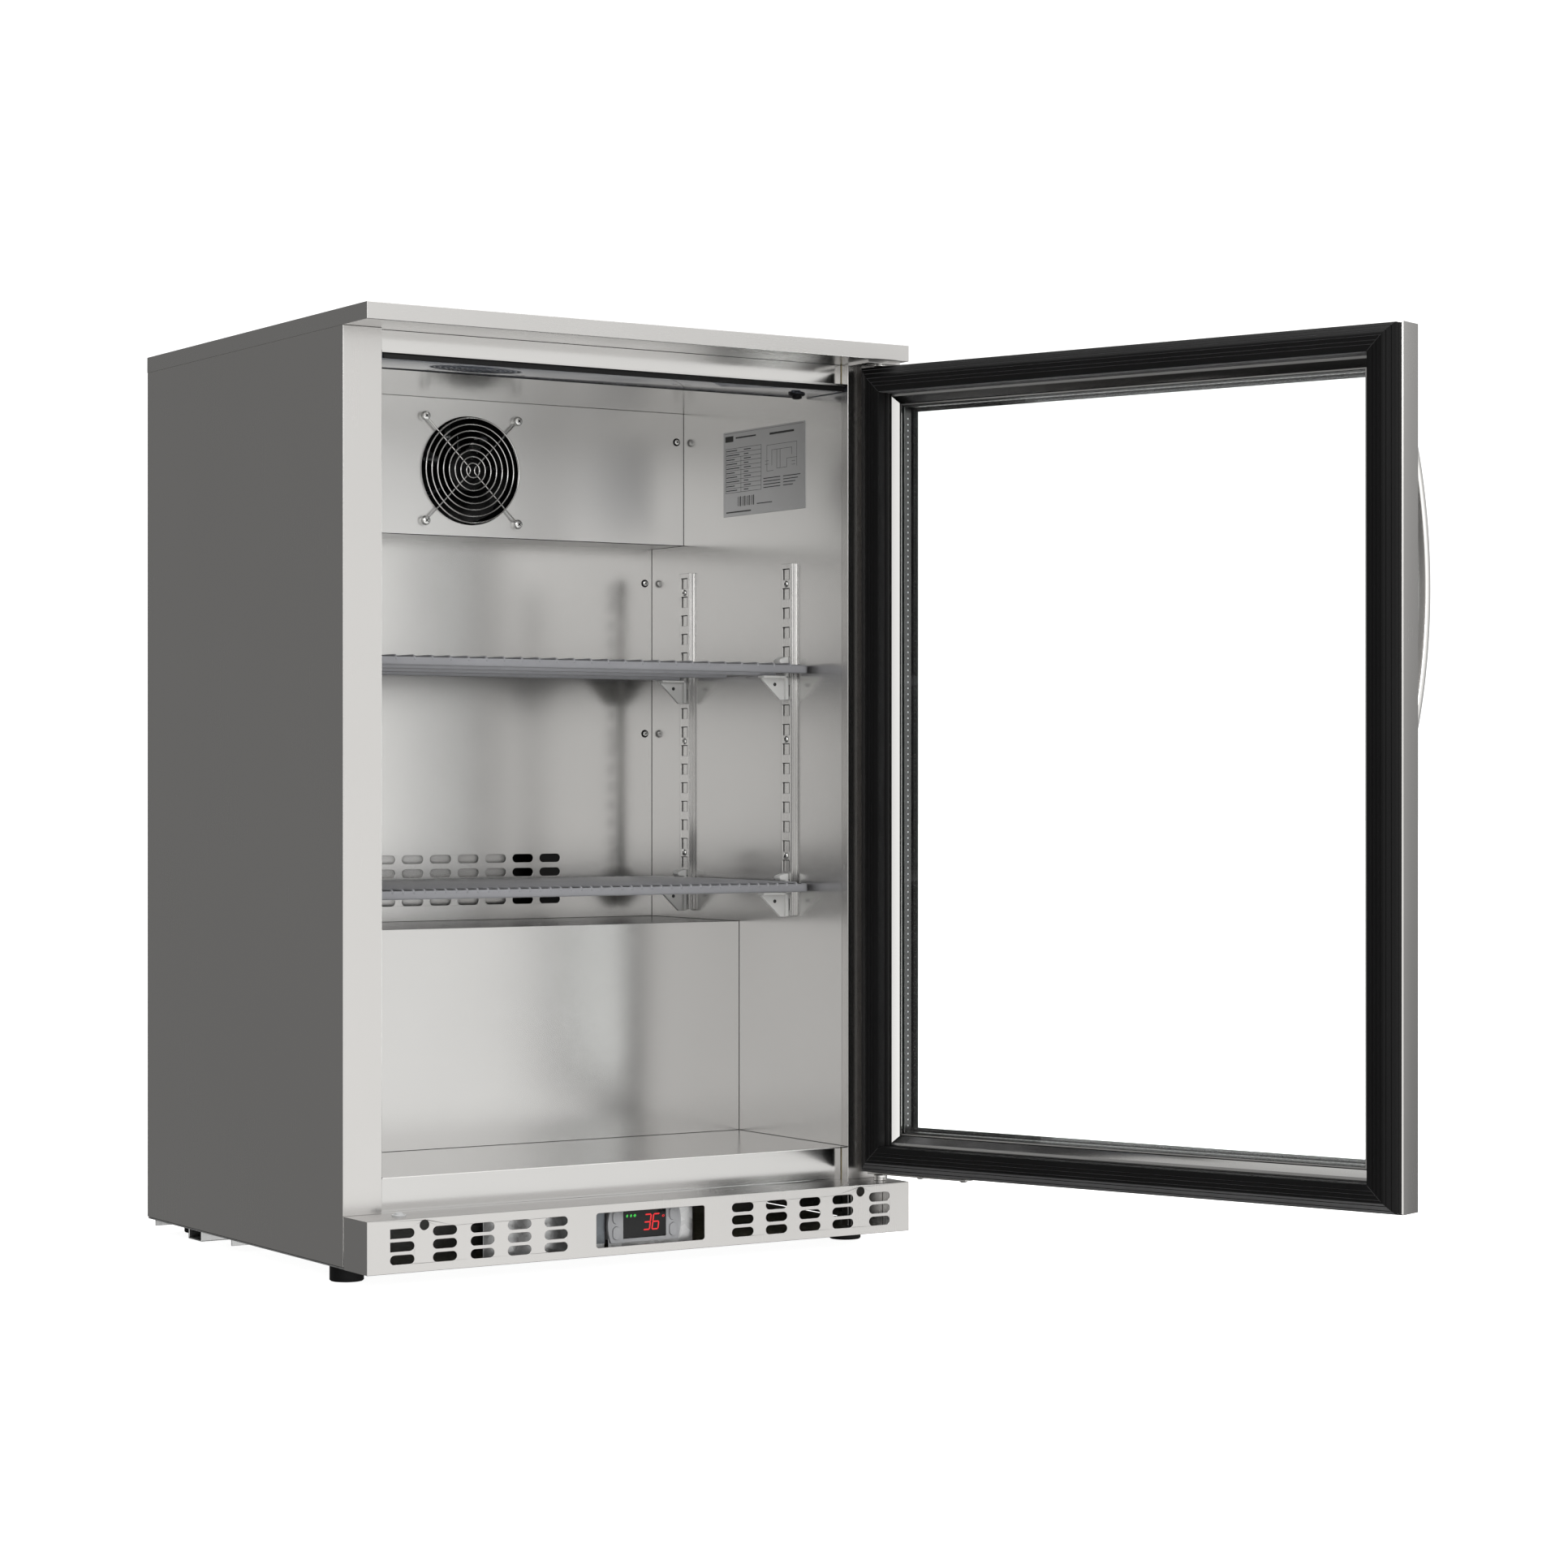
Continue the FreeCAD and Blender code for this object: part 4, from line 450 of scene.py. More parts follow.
def soften(bm, radius, segments=2):
    """Rounds every sharp edge."""
    edges = [e for e in bm.edges if len(e.link_faces) == 2 and e.calc_face_angle(0) > SOFT_ANGLE]
    bmesh.ops.bevel(
        bm, geom=edges, offset=radius, segments=segments, profile=0.5, affect="EDGES", clamp_overlap=True)


def block(bm, low, high, radius=0.0004, segments=2):
    """A box between two corners with rounded edges."""
    low, high = Vector(low), Vector(high)
    size = high - low
    box = bmesh.new()
    bmesh.ops.create_cube(box, size=1.0)
    bmesh.ops.transform(box, matrix=Matrix.Diagonal((*size, 1)), verts=box.verts)
    bmesh.ops.translate(box, vec=(low + high) / 2, verts=box.verts)
    soften(box, min(radius, min(size) * 0.45), segments)
    merge_in(bm, box)


def prism(bm, outline, low, high, radius=0.0004):
    """A solid from an outline of (x, z) pairs, between two depths along Y, with rounded edges."""
    solid = bmesh.new()
    skin(solid, [[(x, low, z) for x, z in outline], [(x, high, z) for x, z in outline]])
    bmesh.ops.recalc_face_normals(solid, faces=solid.faces)
    soften(solid, radius)
    merge_in(bm, solid)


def lathe(bm, profile, matrix, steps=28):
    """A solid turned about Z from (radius, height) pairs whose ends lie on the axis."""
    solid = bmesh.new()
    turn = 2 * math.pi / steps
    rows = []
    for radius, height in profile:
        if radius < 1e-7:
            rows.append([solid.verts.new((0, 0, height))])
        else:
            rows.append([
                solid.verts.new((radius * math.cos(i * turn), radius * math.sin(i * turn), height))
                for i in range(steps)
            ])
    for first, second in zip(rows, rows[1:]):
        for i in range(steps):
            j = (i + 1) % steps
            corners = [row[k % len(row)] for row, k in ((first, i), (first, j), (second, j), (second, i))]
            unique = list(dict.fromkeys(corners))
            if len(unique) > 2:
                solid.faces.new(unique)
    merge_in(bm, solid, matrix)


def facing(place, direction):
    """A matrix that stands a turned solid at a place with its Z along a direction."""
    turn = Vector(direction).to_track_quat("Z", "Y").to_matrix().to_4x4()
    return Matrix.Translation(Vector(place)) @ turn


def frame_loop(bm, section, low, high):
    """A mitred rectangular frame with one closed section of (inset, y) pairs."""
    loops = []
    for inset, y in section:
        x0, x1 = low.x + inset, high.x - inset
        z0, z1 = low.z + inset, high.z - inset
        loops.append([(x0, y, z0), (x1, y, z0), (x1, y, z1), (x0, y, z1)])
    skin(bm, loops, closed=True)


# --- door ---

DOOR_LOW, DOOR_HIGH = shut_box("door_frame")
OUTER = DOOR_LOW.y
INNER = DOOR_HIGH.y


def hang(bm):
    """Swings mesh data that was built with the door shut to the open stop."""
    bmesh.ops.transform(bm, matrix=SWING, verts=bm.verts)
    return bm


def hung_frame(name, section, material, replaced=(), corners=(DOOR_LOW, DOOR_HIGH)):
    """A mitred frame with one section, built with the door shut and hung at the open stop."""
    bm = bmesh.new()
    frame_loop(bm, section, *corners)
    finish_piece(name, hang(bm), material, replaced, "door")


def door_skin():
    """The folded stainless frame, with small round folds."""
    section = millimetres([
        (0, -1.2), (0, -30), (0.15, -30.35), (0.5, -30.5), (44.5, -30.5), (44.85, -30.35),
        (45, -30), (45, -29.5), (1, -29.5), (1, -1), (6, -1), (6, -0.3), (5.7, 0), (1.2, 0),
    ], INNER)
    hung_frame("door_skin", section, "stainless", ["door_frame"])


def door_profile():
    """The inner extrusion: a plain bevel from the gasket down to the bead by the glass."""
    section = millimetres([
        (1, -1), (1, -29.5), (40, -29.5), (40, -24.6), (33.2, -24.6), (33.2, -5.2), (40.3, -5.2),
        (40.3, -4.7), (39, -4.6), (38.9, -5), (38.1, -5), (38, -4.6), (31.5, -0.5), (31.2, -0.35),
        (29.4, -0.1), (28.9, 0), (6.2, 0), (6.2, -1),
    ], INNER)
    hung_frame("door_profile", section, "door_profile", ["door_inner_frame"])


def gasket():
    """The ribbed magnetic gasket with its bellows and soft edges."""
    section = millimetres([
        (1.6, 0), (1.6, 4.5), (2.3, 5.6), (1.7, 7), (1.7, 9.5), (2.4, 11.4), (4.4, 13.2), (4.9, 12.9),
        (5.5, 13.9), (8.6, 16), (9.1, 15.7), (9.7, 16.6), (12.2, 17.8), (13.4, 17.9), (13.8, 17.2),
        (14.3, 17.9), (17.6, 17.9), (18, 17.1), (18.5, 17.9), (21.2, 17.9), (21.6, 17.1), (22, 17.9),
        (26.4, 17.9), (27.5, 17.4), (28, 16.2), (28, 7.6), (27.2, 6.4), (25.2, 5), (25.2, 3.2),
        (27.4, 2.2), (28, 1.4), (28, 0),
    ], INNER)
    hung_frame("gasket_seal", section, "gasket", ["door_gasket"])
    near, far, rise = 13 * MM, 27 * MM, 17.95 * MM
    weld = rounded_rectangle(0.5 * MM, 0.16 * MM, 0.06 * MM, 1)
    welds = bmesh.new()
    for x, across in ((DOOR_LOW.x, 1), (DOOR_HIGH.x, -1)):
        for z, up in ((DOOR_LOW.z, 1), (DOOR_HIGH.z, -1)):
            ends = [Vector((x + across * d, INNER + rise, z + up * d)) for d in (near, far)]
            sweep(welds, ends, weld, (0, 1, 0))
    finish_piece("gasket_welds", hang(welds), "gasket_weld", body="door")


def glass_edges():
    """The spacer between the panes with its drying holes, the black sealant and seal, and a black strip of painted
    shade in the profile's groove.
    """
    panes = pane_low, pane_high = shut_box("door_glass_inner")
    front = shut_box("door_glass_outer")[1].y + 0.1 * MM
    back = pane_low.y - 0.1 * MM
    inset, reach, corner, edge = 3 * MM, 6 * MM, 0.6 * MM, 0.3 * MM
    far = inset + reach
    section = [
        (inset, front), (inset, back), (far - corner, back), (far, back - corner),
        (far, front + corner), (far - corner, front),
    ]
    hung_frame("spacer_bars", section, "spacer", ["glass_spacer"], corners=panes)
    section = [(edge, front), (edge, back), (inset, back), (inset, front)]
    hung_frame("edge_sealant", section, "black_plastic", corners=panes)
    for name, section in (
        # The first strip is black, laid in the profile's shallow groove by the glass: painted shade in the groove.
        ("glazing_groove_shade", [(38.15, -4.98), (38.85, -4.98), (38.85, -4.8), (38.15, -4.8)]),
        ("glazing_seal", [(40.05, -29.45), (45.2, -29.45), (45.2, -27), (43, -25), (40.05, -25)]),
    ):
        hung_frame(name, millimetres(section, INNER), "black_plastic")
    bm = bmesh.new()
    middle = (front + back) / 2
    pitch, radius, lift = 6 * MM, 0.9 * MM, 0.05 * MM
    low = pane_low + Vector((1, 0, 1)) * far
    high = pane_high - Vector((1, 0, 1)) * far
    right, up = Vector((1, 0, 0)), Vector((0, 0, 1))
    runs = [
        (Vector((low.x + lift, middle, low.z)), up, high.z - low.z, right),
        (Vector((high.x - lift, middle, low.z)), up, high.z - low.z, -right),
        (Vector((low.x, middle, low.z + lift)), right, high.x - low.x, up),
        (Vector((low.x, middle, high.z - lift)), right, high.x - low.x, -up),
    ]
    dot = [(radius, 0), (radius * 0.6, 0.12 * MM), (0, 0.15 * MM)]
    for start, along, length, outward in runs:
        for i in range(1, int(length / pitch)):
            lathe(bm, dot, facing(start + along * (i * pitch), outward), 6)
    finish_piece("spacer_holes", hang(bm), "aluminium", body="door")


def handle():
    """The bow handle: a bar with a crowned face, flattened where it meets the door."""
    low, high = shut_box("door_handle")
    reach = OUTER - low.y
    chord = (high.z - low.z) / 2
    radius = (chord ** 2 + reach ** 2) / (2 * reach)
    half = 4.5 * MM
    width = high.x - low.x
    centre = Vector(((low.x + high.x) / 2, low.y + radius, (low.z + high.z) / 2))
    limit = math.asin(chord / radius)
    steps = 64
    path = []
    for i in range(steps + 1):
        angle = -limit + 2 * limit * i / steps
        path.append(centre + Vector((0, -math.cos(angle), math.sin(angle))) * (radius - half))
    bm = bmesh.new()
    sweep(bm, path, rounded_rectangle(width, 2 * half, 3.4 * MM, 5), FRONT)
    for vert in bm.verts:
        vert.co.y = min(vert.co.y, OUTER)
    finish_piece("bow_handle", hang(bm), "handle_steel", ["door_handle"], body="door")


def hinge_fittings():
    """Washers, bushes and the screwed plate under the door's hinge corner."""
    low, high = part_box("hinge_bushes")
    plate_low, plate_high = shut_box("door_hinge_plate")
    radius, bore, edge, plate = 6.7 * MM, 2.6 * MM, 0.4 * MM, 2 * MM
    bm = bmesh.new()
    half_gap = (plate_high.z - low.z - plate) / 2
    stacks = [(low.z, half_gap), (low.z + half_gap, half_gap), (DOOR_HIGH.z, high.z - DOOR_HIGH.z)]
    for z, thickness in stacks:
        profile = [
            (bore, 0), (radius - edge, 0), (radius, edge), (radius, thickness - edge),
            (radius - edge, thickness), (bore, thickness), (bore, 0),
        ]
        lathe(bm, profile, Matrix.Translation((PIVOT.x, PIVOT.y, z)), 40)
    finish_piece("hinge_washers", bm, "hinge_steel", ["hinge_bushes"], body="door")
    bm = bmesh.new()
    under = plate_high.z - plate
    block(bm, (plate_low.x, plate_low.y, under), plate_high, 0.5 * MM)
    screw_insets = (112 * MM, 60 * MM)
    for inset in screw_insets:
        place = (DOOR_HIGH.x - inset, INNER - 9 * MM, under)
        lathe(bm, screw_profile(3.6 * MM, 2 * MM), facing(place, DOWN))
    finish_piece("corner_plate", hang(bm), "hinge_steel", ["door_hinge_plate"], body="door")


# --- screws ---

def screw_profile(radius, height):
    """Outline of a pan head, from its rim to its crown."""
    rim = [(0, 0), (radius, 0), (radius, height * 0.35), (radius * 0.9, height * 0.75)]
    return rim + [(radius * 0.6, height), (0, height)]


def cross_recess(bm, place, direction, size):
    """The dark cross in a screw head."""
    for turn in (45, 135):
        bar = bmesh.new()
        block(bar, (-size, -size * 0.22, -size * 0.12), (size, size * 0.22, size * 0.12), size * 0.08, 1)
        merge_in(bm, bar, facing(place, direction) @ Matrix.Rotation(math.radians(turn), 4, "Z"))


def screws():
    """Every interior screw: guard screws on spacers, sheet screws on black washers, pilaster screws."""
    heads, dark = bmesh.new(), bmesh.new()

    def screw(place, outward, radius, height, recess):
        """A pan head with a cross recess."""
        out = Vector(outward)
        lathe(heads, screw_profile(radius * MM, height * MM), facing(place, out))
        cross_recess(dark, place + out * (height * MM), out, recess * MM)

    cover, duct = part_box("evaporator_cover")[0].y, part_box("back_duct_panel")[0].y
    spacer = millimetres([(0, 0), (4.8, 0), (4.8, 3.4), (3.4, 3.6), (3.4, 5), (0, 5)])
    for x in (-GUARD_CORNER, GUARD_CORNER):
        for z in (-GUARD_CORNER, GUARD_CORNER):
            base = Vector((x, cover, FAN.z + z))
            lathe(heads, spacer, facing(base, FRONT))
            screw(base + Vector((0, -5 * MM, 0)), FRONT, 4.6, 2.3, 2.2)
    sheet = [(side * PANEL_SCREW_X, cover, COVER_SCREW_HEIGHT) for side in SIDES]
    sheet += [(side * PANEL_SCREW_X, duct, z) for side in SIDES for z in DUCT_SCREW_HEIGHTS]
    washer = millimetres([(0, 0), (4.2, 0), (4.2, 0.5), (3.7, 0.9), (0, 0.9)])
    for place in sheet:
        base = Vector(place)
        lathe(dark, washer, facing(base, FRONT))
        screw(base + Vector((0, -0.85 * MM, 0)), FRONT, 3.0, 1.3, 1.7)
    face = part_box("shelf_clips")[1].x
    for side in SIDES:
        for y in PILASTER_PLACES:
            for z in PILASTER_SCREW_HEIGHTS:
                screw(Vector((side * face, y, z)), (-side, 0, 0), 3.4, 1.5, 1.9)
    finish_piece("screw_heads", heads, "screw", ["interior_screws"])
    finish_piece("screw_recesses", dark, "black_plastic")


# --- fan ---

FAN = Vector(next(j for j in frame["joints"] if j["name"] == "evaporator_fan_spin")["pos_m"])


def fan_guard():
    """Eight wire rings on two bent cross wires with eyes at their ends."""
    thickness, eye, eye_radius = 0.85 * MM, 3.2 * MM, 4.2 * MM
    first_ring, ring_step = 7.6 * MM, 6.7 * MM
    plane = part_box("fan_guard")[0].y + 1.1 * MM
    behind = plane + 1.9 * thickness
    bm = bmesh.new()
    for i in range(8):
        hoop(bm, Vector((0, plane, FAN.z)), first_ring + ring_step * i, thickness)
    for side in SIDES:
        end = side * (GUARD_CORNER - eye)
        path = [Vector((end, behind, FAN.z + (GUARD_CORNER - eye)))]
        for angle in range(-60, 61, 20):
            bend = math.radians(angle)
            x = side * (5.2 * MM - 3.4 * MM * math.cos(bend) + 0.6 * MM)
            path.append(Vector((x, behind, FAN.z - 4.4 * MM * math.sin(bend))))
        path.append(Vector((end, behind, FAN.z - (GUARD_CORNER - eye))))
        wire(bm, path, thickness, (0, 1, 0))
        for up in SIDES:
            spot = Vector((side * GUARD_CORNER, behind, FAN.z + up * GUARD_CORNER))
            hoop(bm, spot, eye_radius, thickness, 24)
    finish_piece("guard_wires", bm, "wire", ["fan_guard"])


def fan_rotor():
    """A moulded rotor: a domed hub and seven broad pitched blades."""
    low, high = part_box("evaporator_fan_rotor")
    front, back = low.y, high.y
    hub, tip, root = 22 * MM, 52.6 * MM, 1 * MM
    half_width, widening, swept = math.radians(19), math.radians(3.5), 0.16
    pitch, pitch_loss, crown, half_thickness = 11.2 * MM, 4.0 * MM, 1.6 * MM, 0.8 * MM
    bm = bmesh.new()
    depth = back - front
    dome = depth - 0.7 * MM
    profile = [
        (0, 0), (hub - 0.4 * MM, 0), (hub, 0.4 * MM), (hub, depth - 2.4 * MM), (hub - 1.4 * MM, dome),
        (hub - 4 * MM, depth), (hub * 0.55, depth), (hub * 0.5, dome), (0, dome),
    ]
    lathe(bm, profile, facing((FAN.x, back, FAN.z), FRONT), 56)
    blades, across, outward = 7, 9, 7
    middle = (front + back) / 2
    for blade in range(blades):
        start = 2 * math.pi * blade / blades
        faces = {}
        for skin_side in SIDES:
            for i in range(outward + 1):
                share = i / outward
                radius = hub - root + (tip - hub + root) * share
                for k in range(across + 1):
                    u = 2 * k / across - 1
                    angle = start + u * (half_width + widening * share) + swept * share
                    camber = crown * (1 - u * u)
                    thick = half_thickness * (1 - 0.75 * u * u)
                    y = middle + u * (pitch - pitch_loss * share) + camber + skin_side * thick
                    spot = (FAN.x + radius * math.sin(angle), y, FAN.z + radius * math.cos(angle))
                    faces[skin_side, i, k] = bm.verts.new(spot)
        for skin_side in SIDES:
            for i in range(outward):
                for k in range(across):
                    corners = ((i, k), (i + 1, k), (i + 1, k + 1), (i, k + 1))
                    bm.faces.new([faces[skin_side, *corner] for corner in corners])
        rim = [(i, 0) for i in range(outward)] + [(outward, k) for k in range(across)]
        rim += [(i, across) for i in range(outward, 0, -1)] + [(0, k) for k in range(across, 0, -1)]
        for first, second in zip(rim, rim[1:] + rim[:1]):
            bm.faces.new((faces[-1, *first], faces[-1, *second], faces[1, *second], faces[1, *first]))
    finish_piece("fan_blades", bm, "black_gloss", ["evaporator_fan_rotor"], body="evaporator_fan")


# --- shelves ---

def wire_shelf(level, pitch):
    """A coated wire shelf with a rounded front band, wires lapped over it and a dark strip of painted shadow
    behind the band.
    """
    low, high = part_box(f"{level}_shelf")
    radius, band, lap, bend, tail = 1.5 * MM, 10.6 * MM, 2.2 * MM, 9 * MM, 16 * MM
    wire_z = high.z - radius
    band_y = low.y + 2.2 * MM
    band_z = high.z - lap - (band - lap) / 2
    half = high.x - 2.1 * MM
    bm = bmesh.new()
    path = [Vector((-half, band_y + tail, band_z))]
    for side in SIDES:
        for k in range(7):
            angle = math.radians(15 * k if side < 0 else 90 - 15 * k)
            x = side * (half - bend + bend * math.cos(angle))
            path.append(Vector((x, band_y + bend - bend * math.sin(angle), band_z)))
    path.append(Vector((half, band_y + tail, band_z)))
    sweep(bm, path, rounded_rectangle(4 * MM, band - lap, 1.7 * MM))
    rail = high.x - 9.5 * MM
    base = high.z - band
    under = wire_z - 0.9 * MM
    for side in SIDES:
        inner, outer = sorted((side * rail, side * (high.x - 5.5 * MM)))
        block(bm, (inner, low.y + 5 * MM, base + 1.2 * MM), (outer, high.y - 1 * MM, under), 1.2 * MM, 3)
    block(bm, (-rail, high.y - 4 * MM, base), (rail, high.y, high.z - 1 * MM), 1.2 * MM, 3)
    half_bar = 2.5 * MM
    for y in CROSSBAR_PLACES:
        start = (-rail + 2 * MM, y - half_bar, low.z)
        block(bm, start, (rail - 2 * MM, y + half_bar, under), 1.1 * MM, 3)
    # A dark strip behind the band's top edge and under the wires: painted shadow between the wires.
    gap = bmesh.new()
    top = high.z - lap
    start = (-rail, band_y + 1.7 * MM, top - 2 * MM)
    block(gap, start, (rail, band_y + 3.4 * MM, top + 0.4 * MM), 0.3 * MM, 1)
    finish_piece(f"{level}_band_shadow", gap, "joint_shadow")
    lead = millimetres([(1.1, -2.6), (1.5, -1.2), (2.6, -0.3), (4.2, 0)])
    count = int((rail - 6 * MM) // (pitch * MM))
    for i in range(-count, count + 1):
        x = i * pitch * MM
        path = [(x, low.y + y, wire_z + z) for y, z in lead]
        path += [(x, 0, wire_z), (x, high.y - 3.2 * MM, wire_z), (x, high.y - 1.4 * MM, wire_z - 0.8 * MM)]
        wire(bm, path, radius, (1, 0, 0))
    finish_piece(f"{level}_wire_shelf", bm, "shelf_coating", [f"{level}_shelf"])


def pilasters():
    """Four folded channels with slots in the face and two beads down the front, with thin dark strips of painted
    shade along the slot edges and between the beads.
    """
    low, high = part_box("shelf_pilasters")
    wall = high.x
    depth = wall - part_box("shelf_clips")[1].x
    half, slot_half_y, slot_half_z, pitch = 10 * MM, 6.4 * MM, 5.6 * MM, 20 * MM
    first = high.z - 10.9 * MM
    middles = [first - i * pitch for i in range(math.ceil((first - slot_half_z - low.z) / pitch))]
    slots = [(z - slot_half_z, z + slot_half_z) for z in middles]
    edges = [high.z] + [edge for bottom, top in slots for edge in (top, bottom)] + [low.z]
    bm, dark = bmesh.new(), bmesh.new()

    def bar(target, side, depths, ys, zs, radius, segments=2):
        """A box between two depths from the wall."""
        x0, x1 = sorted(side * (wall - d) for d in depths)
        block(target, (x0, ys[0], zs[0]), (x1, ys[1], zs[1]), radius, segments)

    whole = (low.z, high.z)
    face = (depth, depth - SHEET)
    raised = (depth + 0.05 * MM, depth - SHEET)
    behind = (depth - 1.5 * SHEET, depth - 2.2 * SHEET)
    for side in SIDES:
        for y in PILASTER_PLACES:
            near, far = y - slot_half_y, y + slot_half_y
            # Thin dark strips along each slot's front and top edges: painted shade.
            for bottom, top in slots:
                bar(dark, side, raised, (near - 0.3 * MM, near + 0.5 * MM), (bottom, top), 0.1 * MM, 1)
                bar(dark, side, raised, (near, far), (top - 0.5 * MM, top + 0.3 * MM), 0.1 * MM, 1)
            for upper, lower in zip(edges[0::2], edges[1::2]):
                bar(bm, side, face, (near, far), (lower, upper), 0.25 * MM, 1)
            for ys in ((y - half, near), (far, y + half)):
                bar(bm, side, face, ys, whole, 0.3 * MM, 1)
            for edge in (y - half, y + half - SHEET):
                bar(bm, side, (depth, 0), (edge, edge + SHEET), whole, 0.4 * MM)
            bar(bm, side, behind, (near - SHEET, far + SHEET), whole, 0.1 * MM, 1)
            for bead in (depth * 0.8, depth * 0.4):
                ys = (y - half - 0.4 * MM, y - half + 0.2 * MM)
                bar(bm, side, (bead, bead - 0.9 * MM), ys, whole, 0.25 * MM)
            # A thin dark line down the crease between the two beads: painted shade.
            ys = (y - half - 0.1 * MM, y - half + 0.2 * MM)
            bar(dark, side, (depth * 0.64, depth * 0.54), ys, whole, 0.05 * MM, 1)
    finish_piece("slotted_channels", bm, "liner", ["shelf_pilasters"])
    finish_piece("channel_shadows", dark, "joint_shadow")


def shelf_clips():
    """White clips: a triangular web with a hole, a top flange, a rib by the channel and a lug above."""
    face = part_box("shelf_clips")[1].x
    web = [(0.2, -25), (8, -25), (30.3, -4), (30.3, -0.1), (0.2, -0.1)]
    flange = [(0.2, -2.6), (30.8, -2.6), (30.8, -0.1), (0.2, -0.1)]
    lug = [(0.2, -0.5), (10, 0), (12, 2.4), (10.5, 4.8), (4, 6.8), (0.2, 7)]
    hole = millimetres([(0, 0), (1.9, 0), (1.9, 0.1), (0, 0.1)])
    hole_inset, hole_drop, web_face = 15 * MM, 9 * MM, 2.02 * MM
    white, dark = bmesh.new(), bmesh.new()
    for level in ("upper", "lower"):
        under, top = (corner.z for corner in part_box(f"{level}_shelf"))
        top += 0.4 * MM
        rib = [(0.2, under - 24.5 * MM), (4, under - 24.5 * MM), (4, top), (0.2, top)]
        shapes = [
            ([(a, under + b * MM) for a, b in web], 2 * MM, 0.6 * MM),
            ([(a, under + b * MM) for a, b in flange], CLIP_HALF_WIDTH, 0.7 * MM),
            (rib, CLIP_HALF_WIDTH, 0.7 * MM),
            ([(a, top + b * MM) for a, b in lug], CLIP_HALF_WIDTH, 1.1 * MM),
        ]
        for side in SIDES:
            for y in PILASTER_PLACES:
                for shape, half, radius in shapes:
                    outline = [(side * (face - a * MM), z) for a, z in shape]
                    prism(white, outline, y - half, y + half, radius)
                spot = (side * (face - hole_inset), y - web_face, under - hole_drop)
                lathe(dark, hole, facing(spot, FRONT), 16)
    finish_piece("shelf_brackets", white, "white_plastic", ["shelf_clips"])
    finish_piece("bracket_holes", dark, "rubber")


# --- controller ---

SEGMENTS = {"3": "abgcd", "6": "afgedc"}


def controller_display():
    """Lens with a lit two-figure reading, a degree mark and three small pilot marks."""
    low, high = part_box("controller_display")
    bm = bmesh.new()
    block(bm, low, high, 0.8 * MM, 3)
    finish_piece("display_lens", bm, "display", ["controller_display"])
    front = low.y - 0.05 * MM
    width, height, stroke = 7.6 * MM, 15.6 * MM, 1.35 * MM
    slant = math.tan(math.radians(8))
    base = high.z - 20.2 * MM

    def bar(bm, start, end, thickness=stroke):
        """One lit segment with pointed ends."""
        start, end = Vector(start), Vector(end)
        along = (end - start).normalized()
        side = Vector((-along.y, along.x)) * (thickness / 2)
        tip = along * (thickness / 2)
        shape = [start, start + tip + side, end - tip + side, end, end - tip - side, start + tip - side]
        points = [(p.x + slant * (p.y - base), p.y) for p in shape]
        prism(bm, points, front - 0.12 * MM, front + 0.2 * MM, 0.05 * MM)

    red = bmesh.new()
    for figure, x in (("3", low.x + 21.2 * MM), ("6", low.x + 30.6 * MM)):
        left, right = x + 0.8 * MM, x + width - 0.2 * MM
        bottom, middle, top = base + 0.6 * MM, base + height / 2, base + height - 0.6 * MM
        lines = {
            "a": ((left, top), (right, top)), "g": ((left, middle), (right, middle)),
            "d": ((left, bottom), (right, bottom)), "b": ((right, middle), (right, top)),
            "c": ((right, bottom), (right, middle)), "e": ((left, bottom), (left, middle)),
            "f": ((left, middle), (left, top)),
        }
        for key in SEGMENTS[figure]:
            bar(red, *lines[key])
    mark = Vector((low.x + 41.4 * MM, base + 11.4 * MM))
    for start, end in (((0, 0.4), (0, 2)), ((0, 2), (2, 2)), ((2, 2), (2, 0.4)), ((0, 0.6), (2, 0.6))):
        bar(red, mark + Vector(start) * MM, mark + Vector(end) * MM, 0.6 * MM)
    finish_piece("display_figures", red, "red_light")
    green = bmesh.new()
    marks = [(1.9, (90,), 1.9), (6.2, (90,), 1.9), (10.4, (0, 60, 120), 0.9)]
    for offset, turns, weight in marks:
        spot = Vector((low.x + offset * MM, high.z - 5.4 * MM))
        for turn in turns:
            angle = math.radians(turn)
            reach = Vector((math.cos(angle), math.sin(angle))) * 1.6 * MM
            bar(green, spot - reach, spot + reach, weight * MM)
    finish_piece("display_marks", green, "green_light")


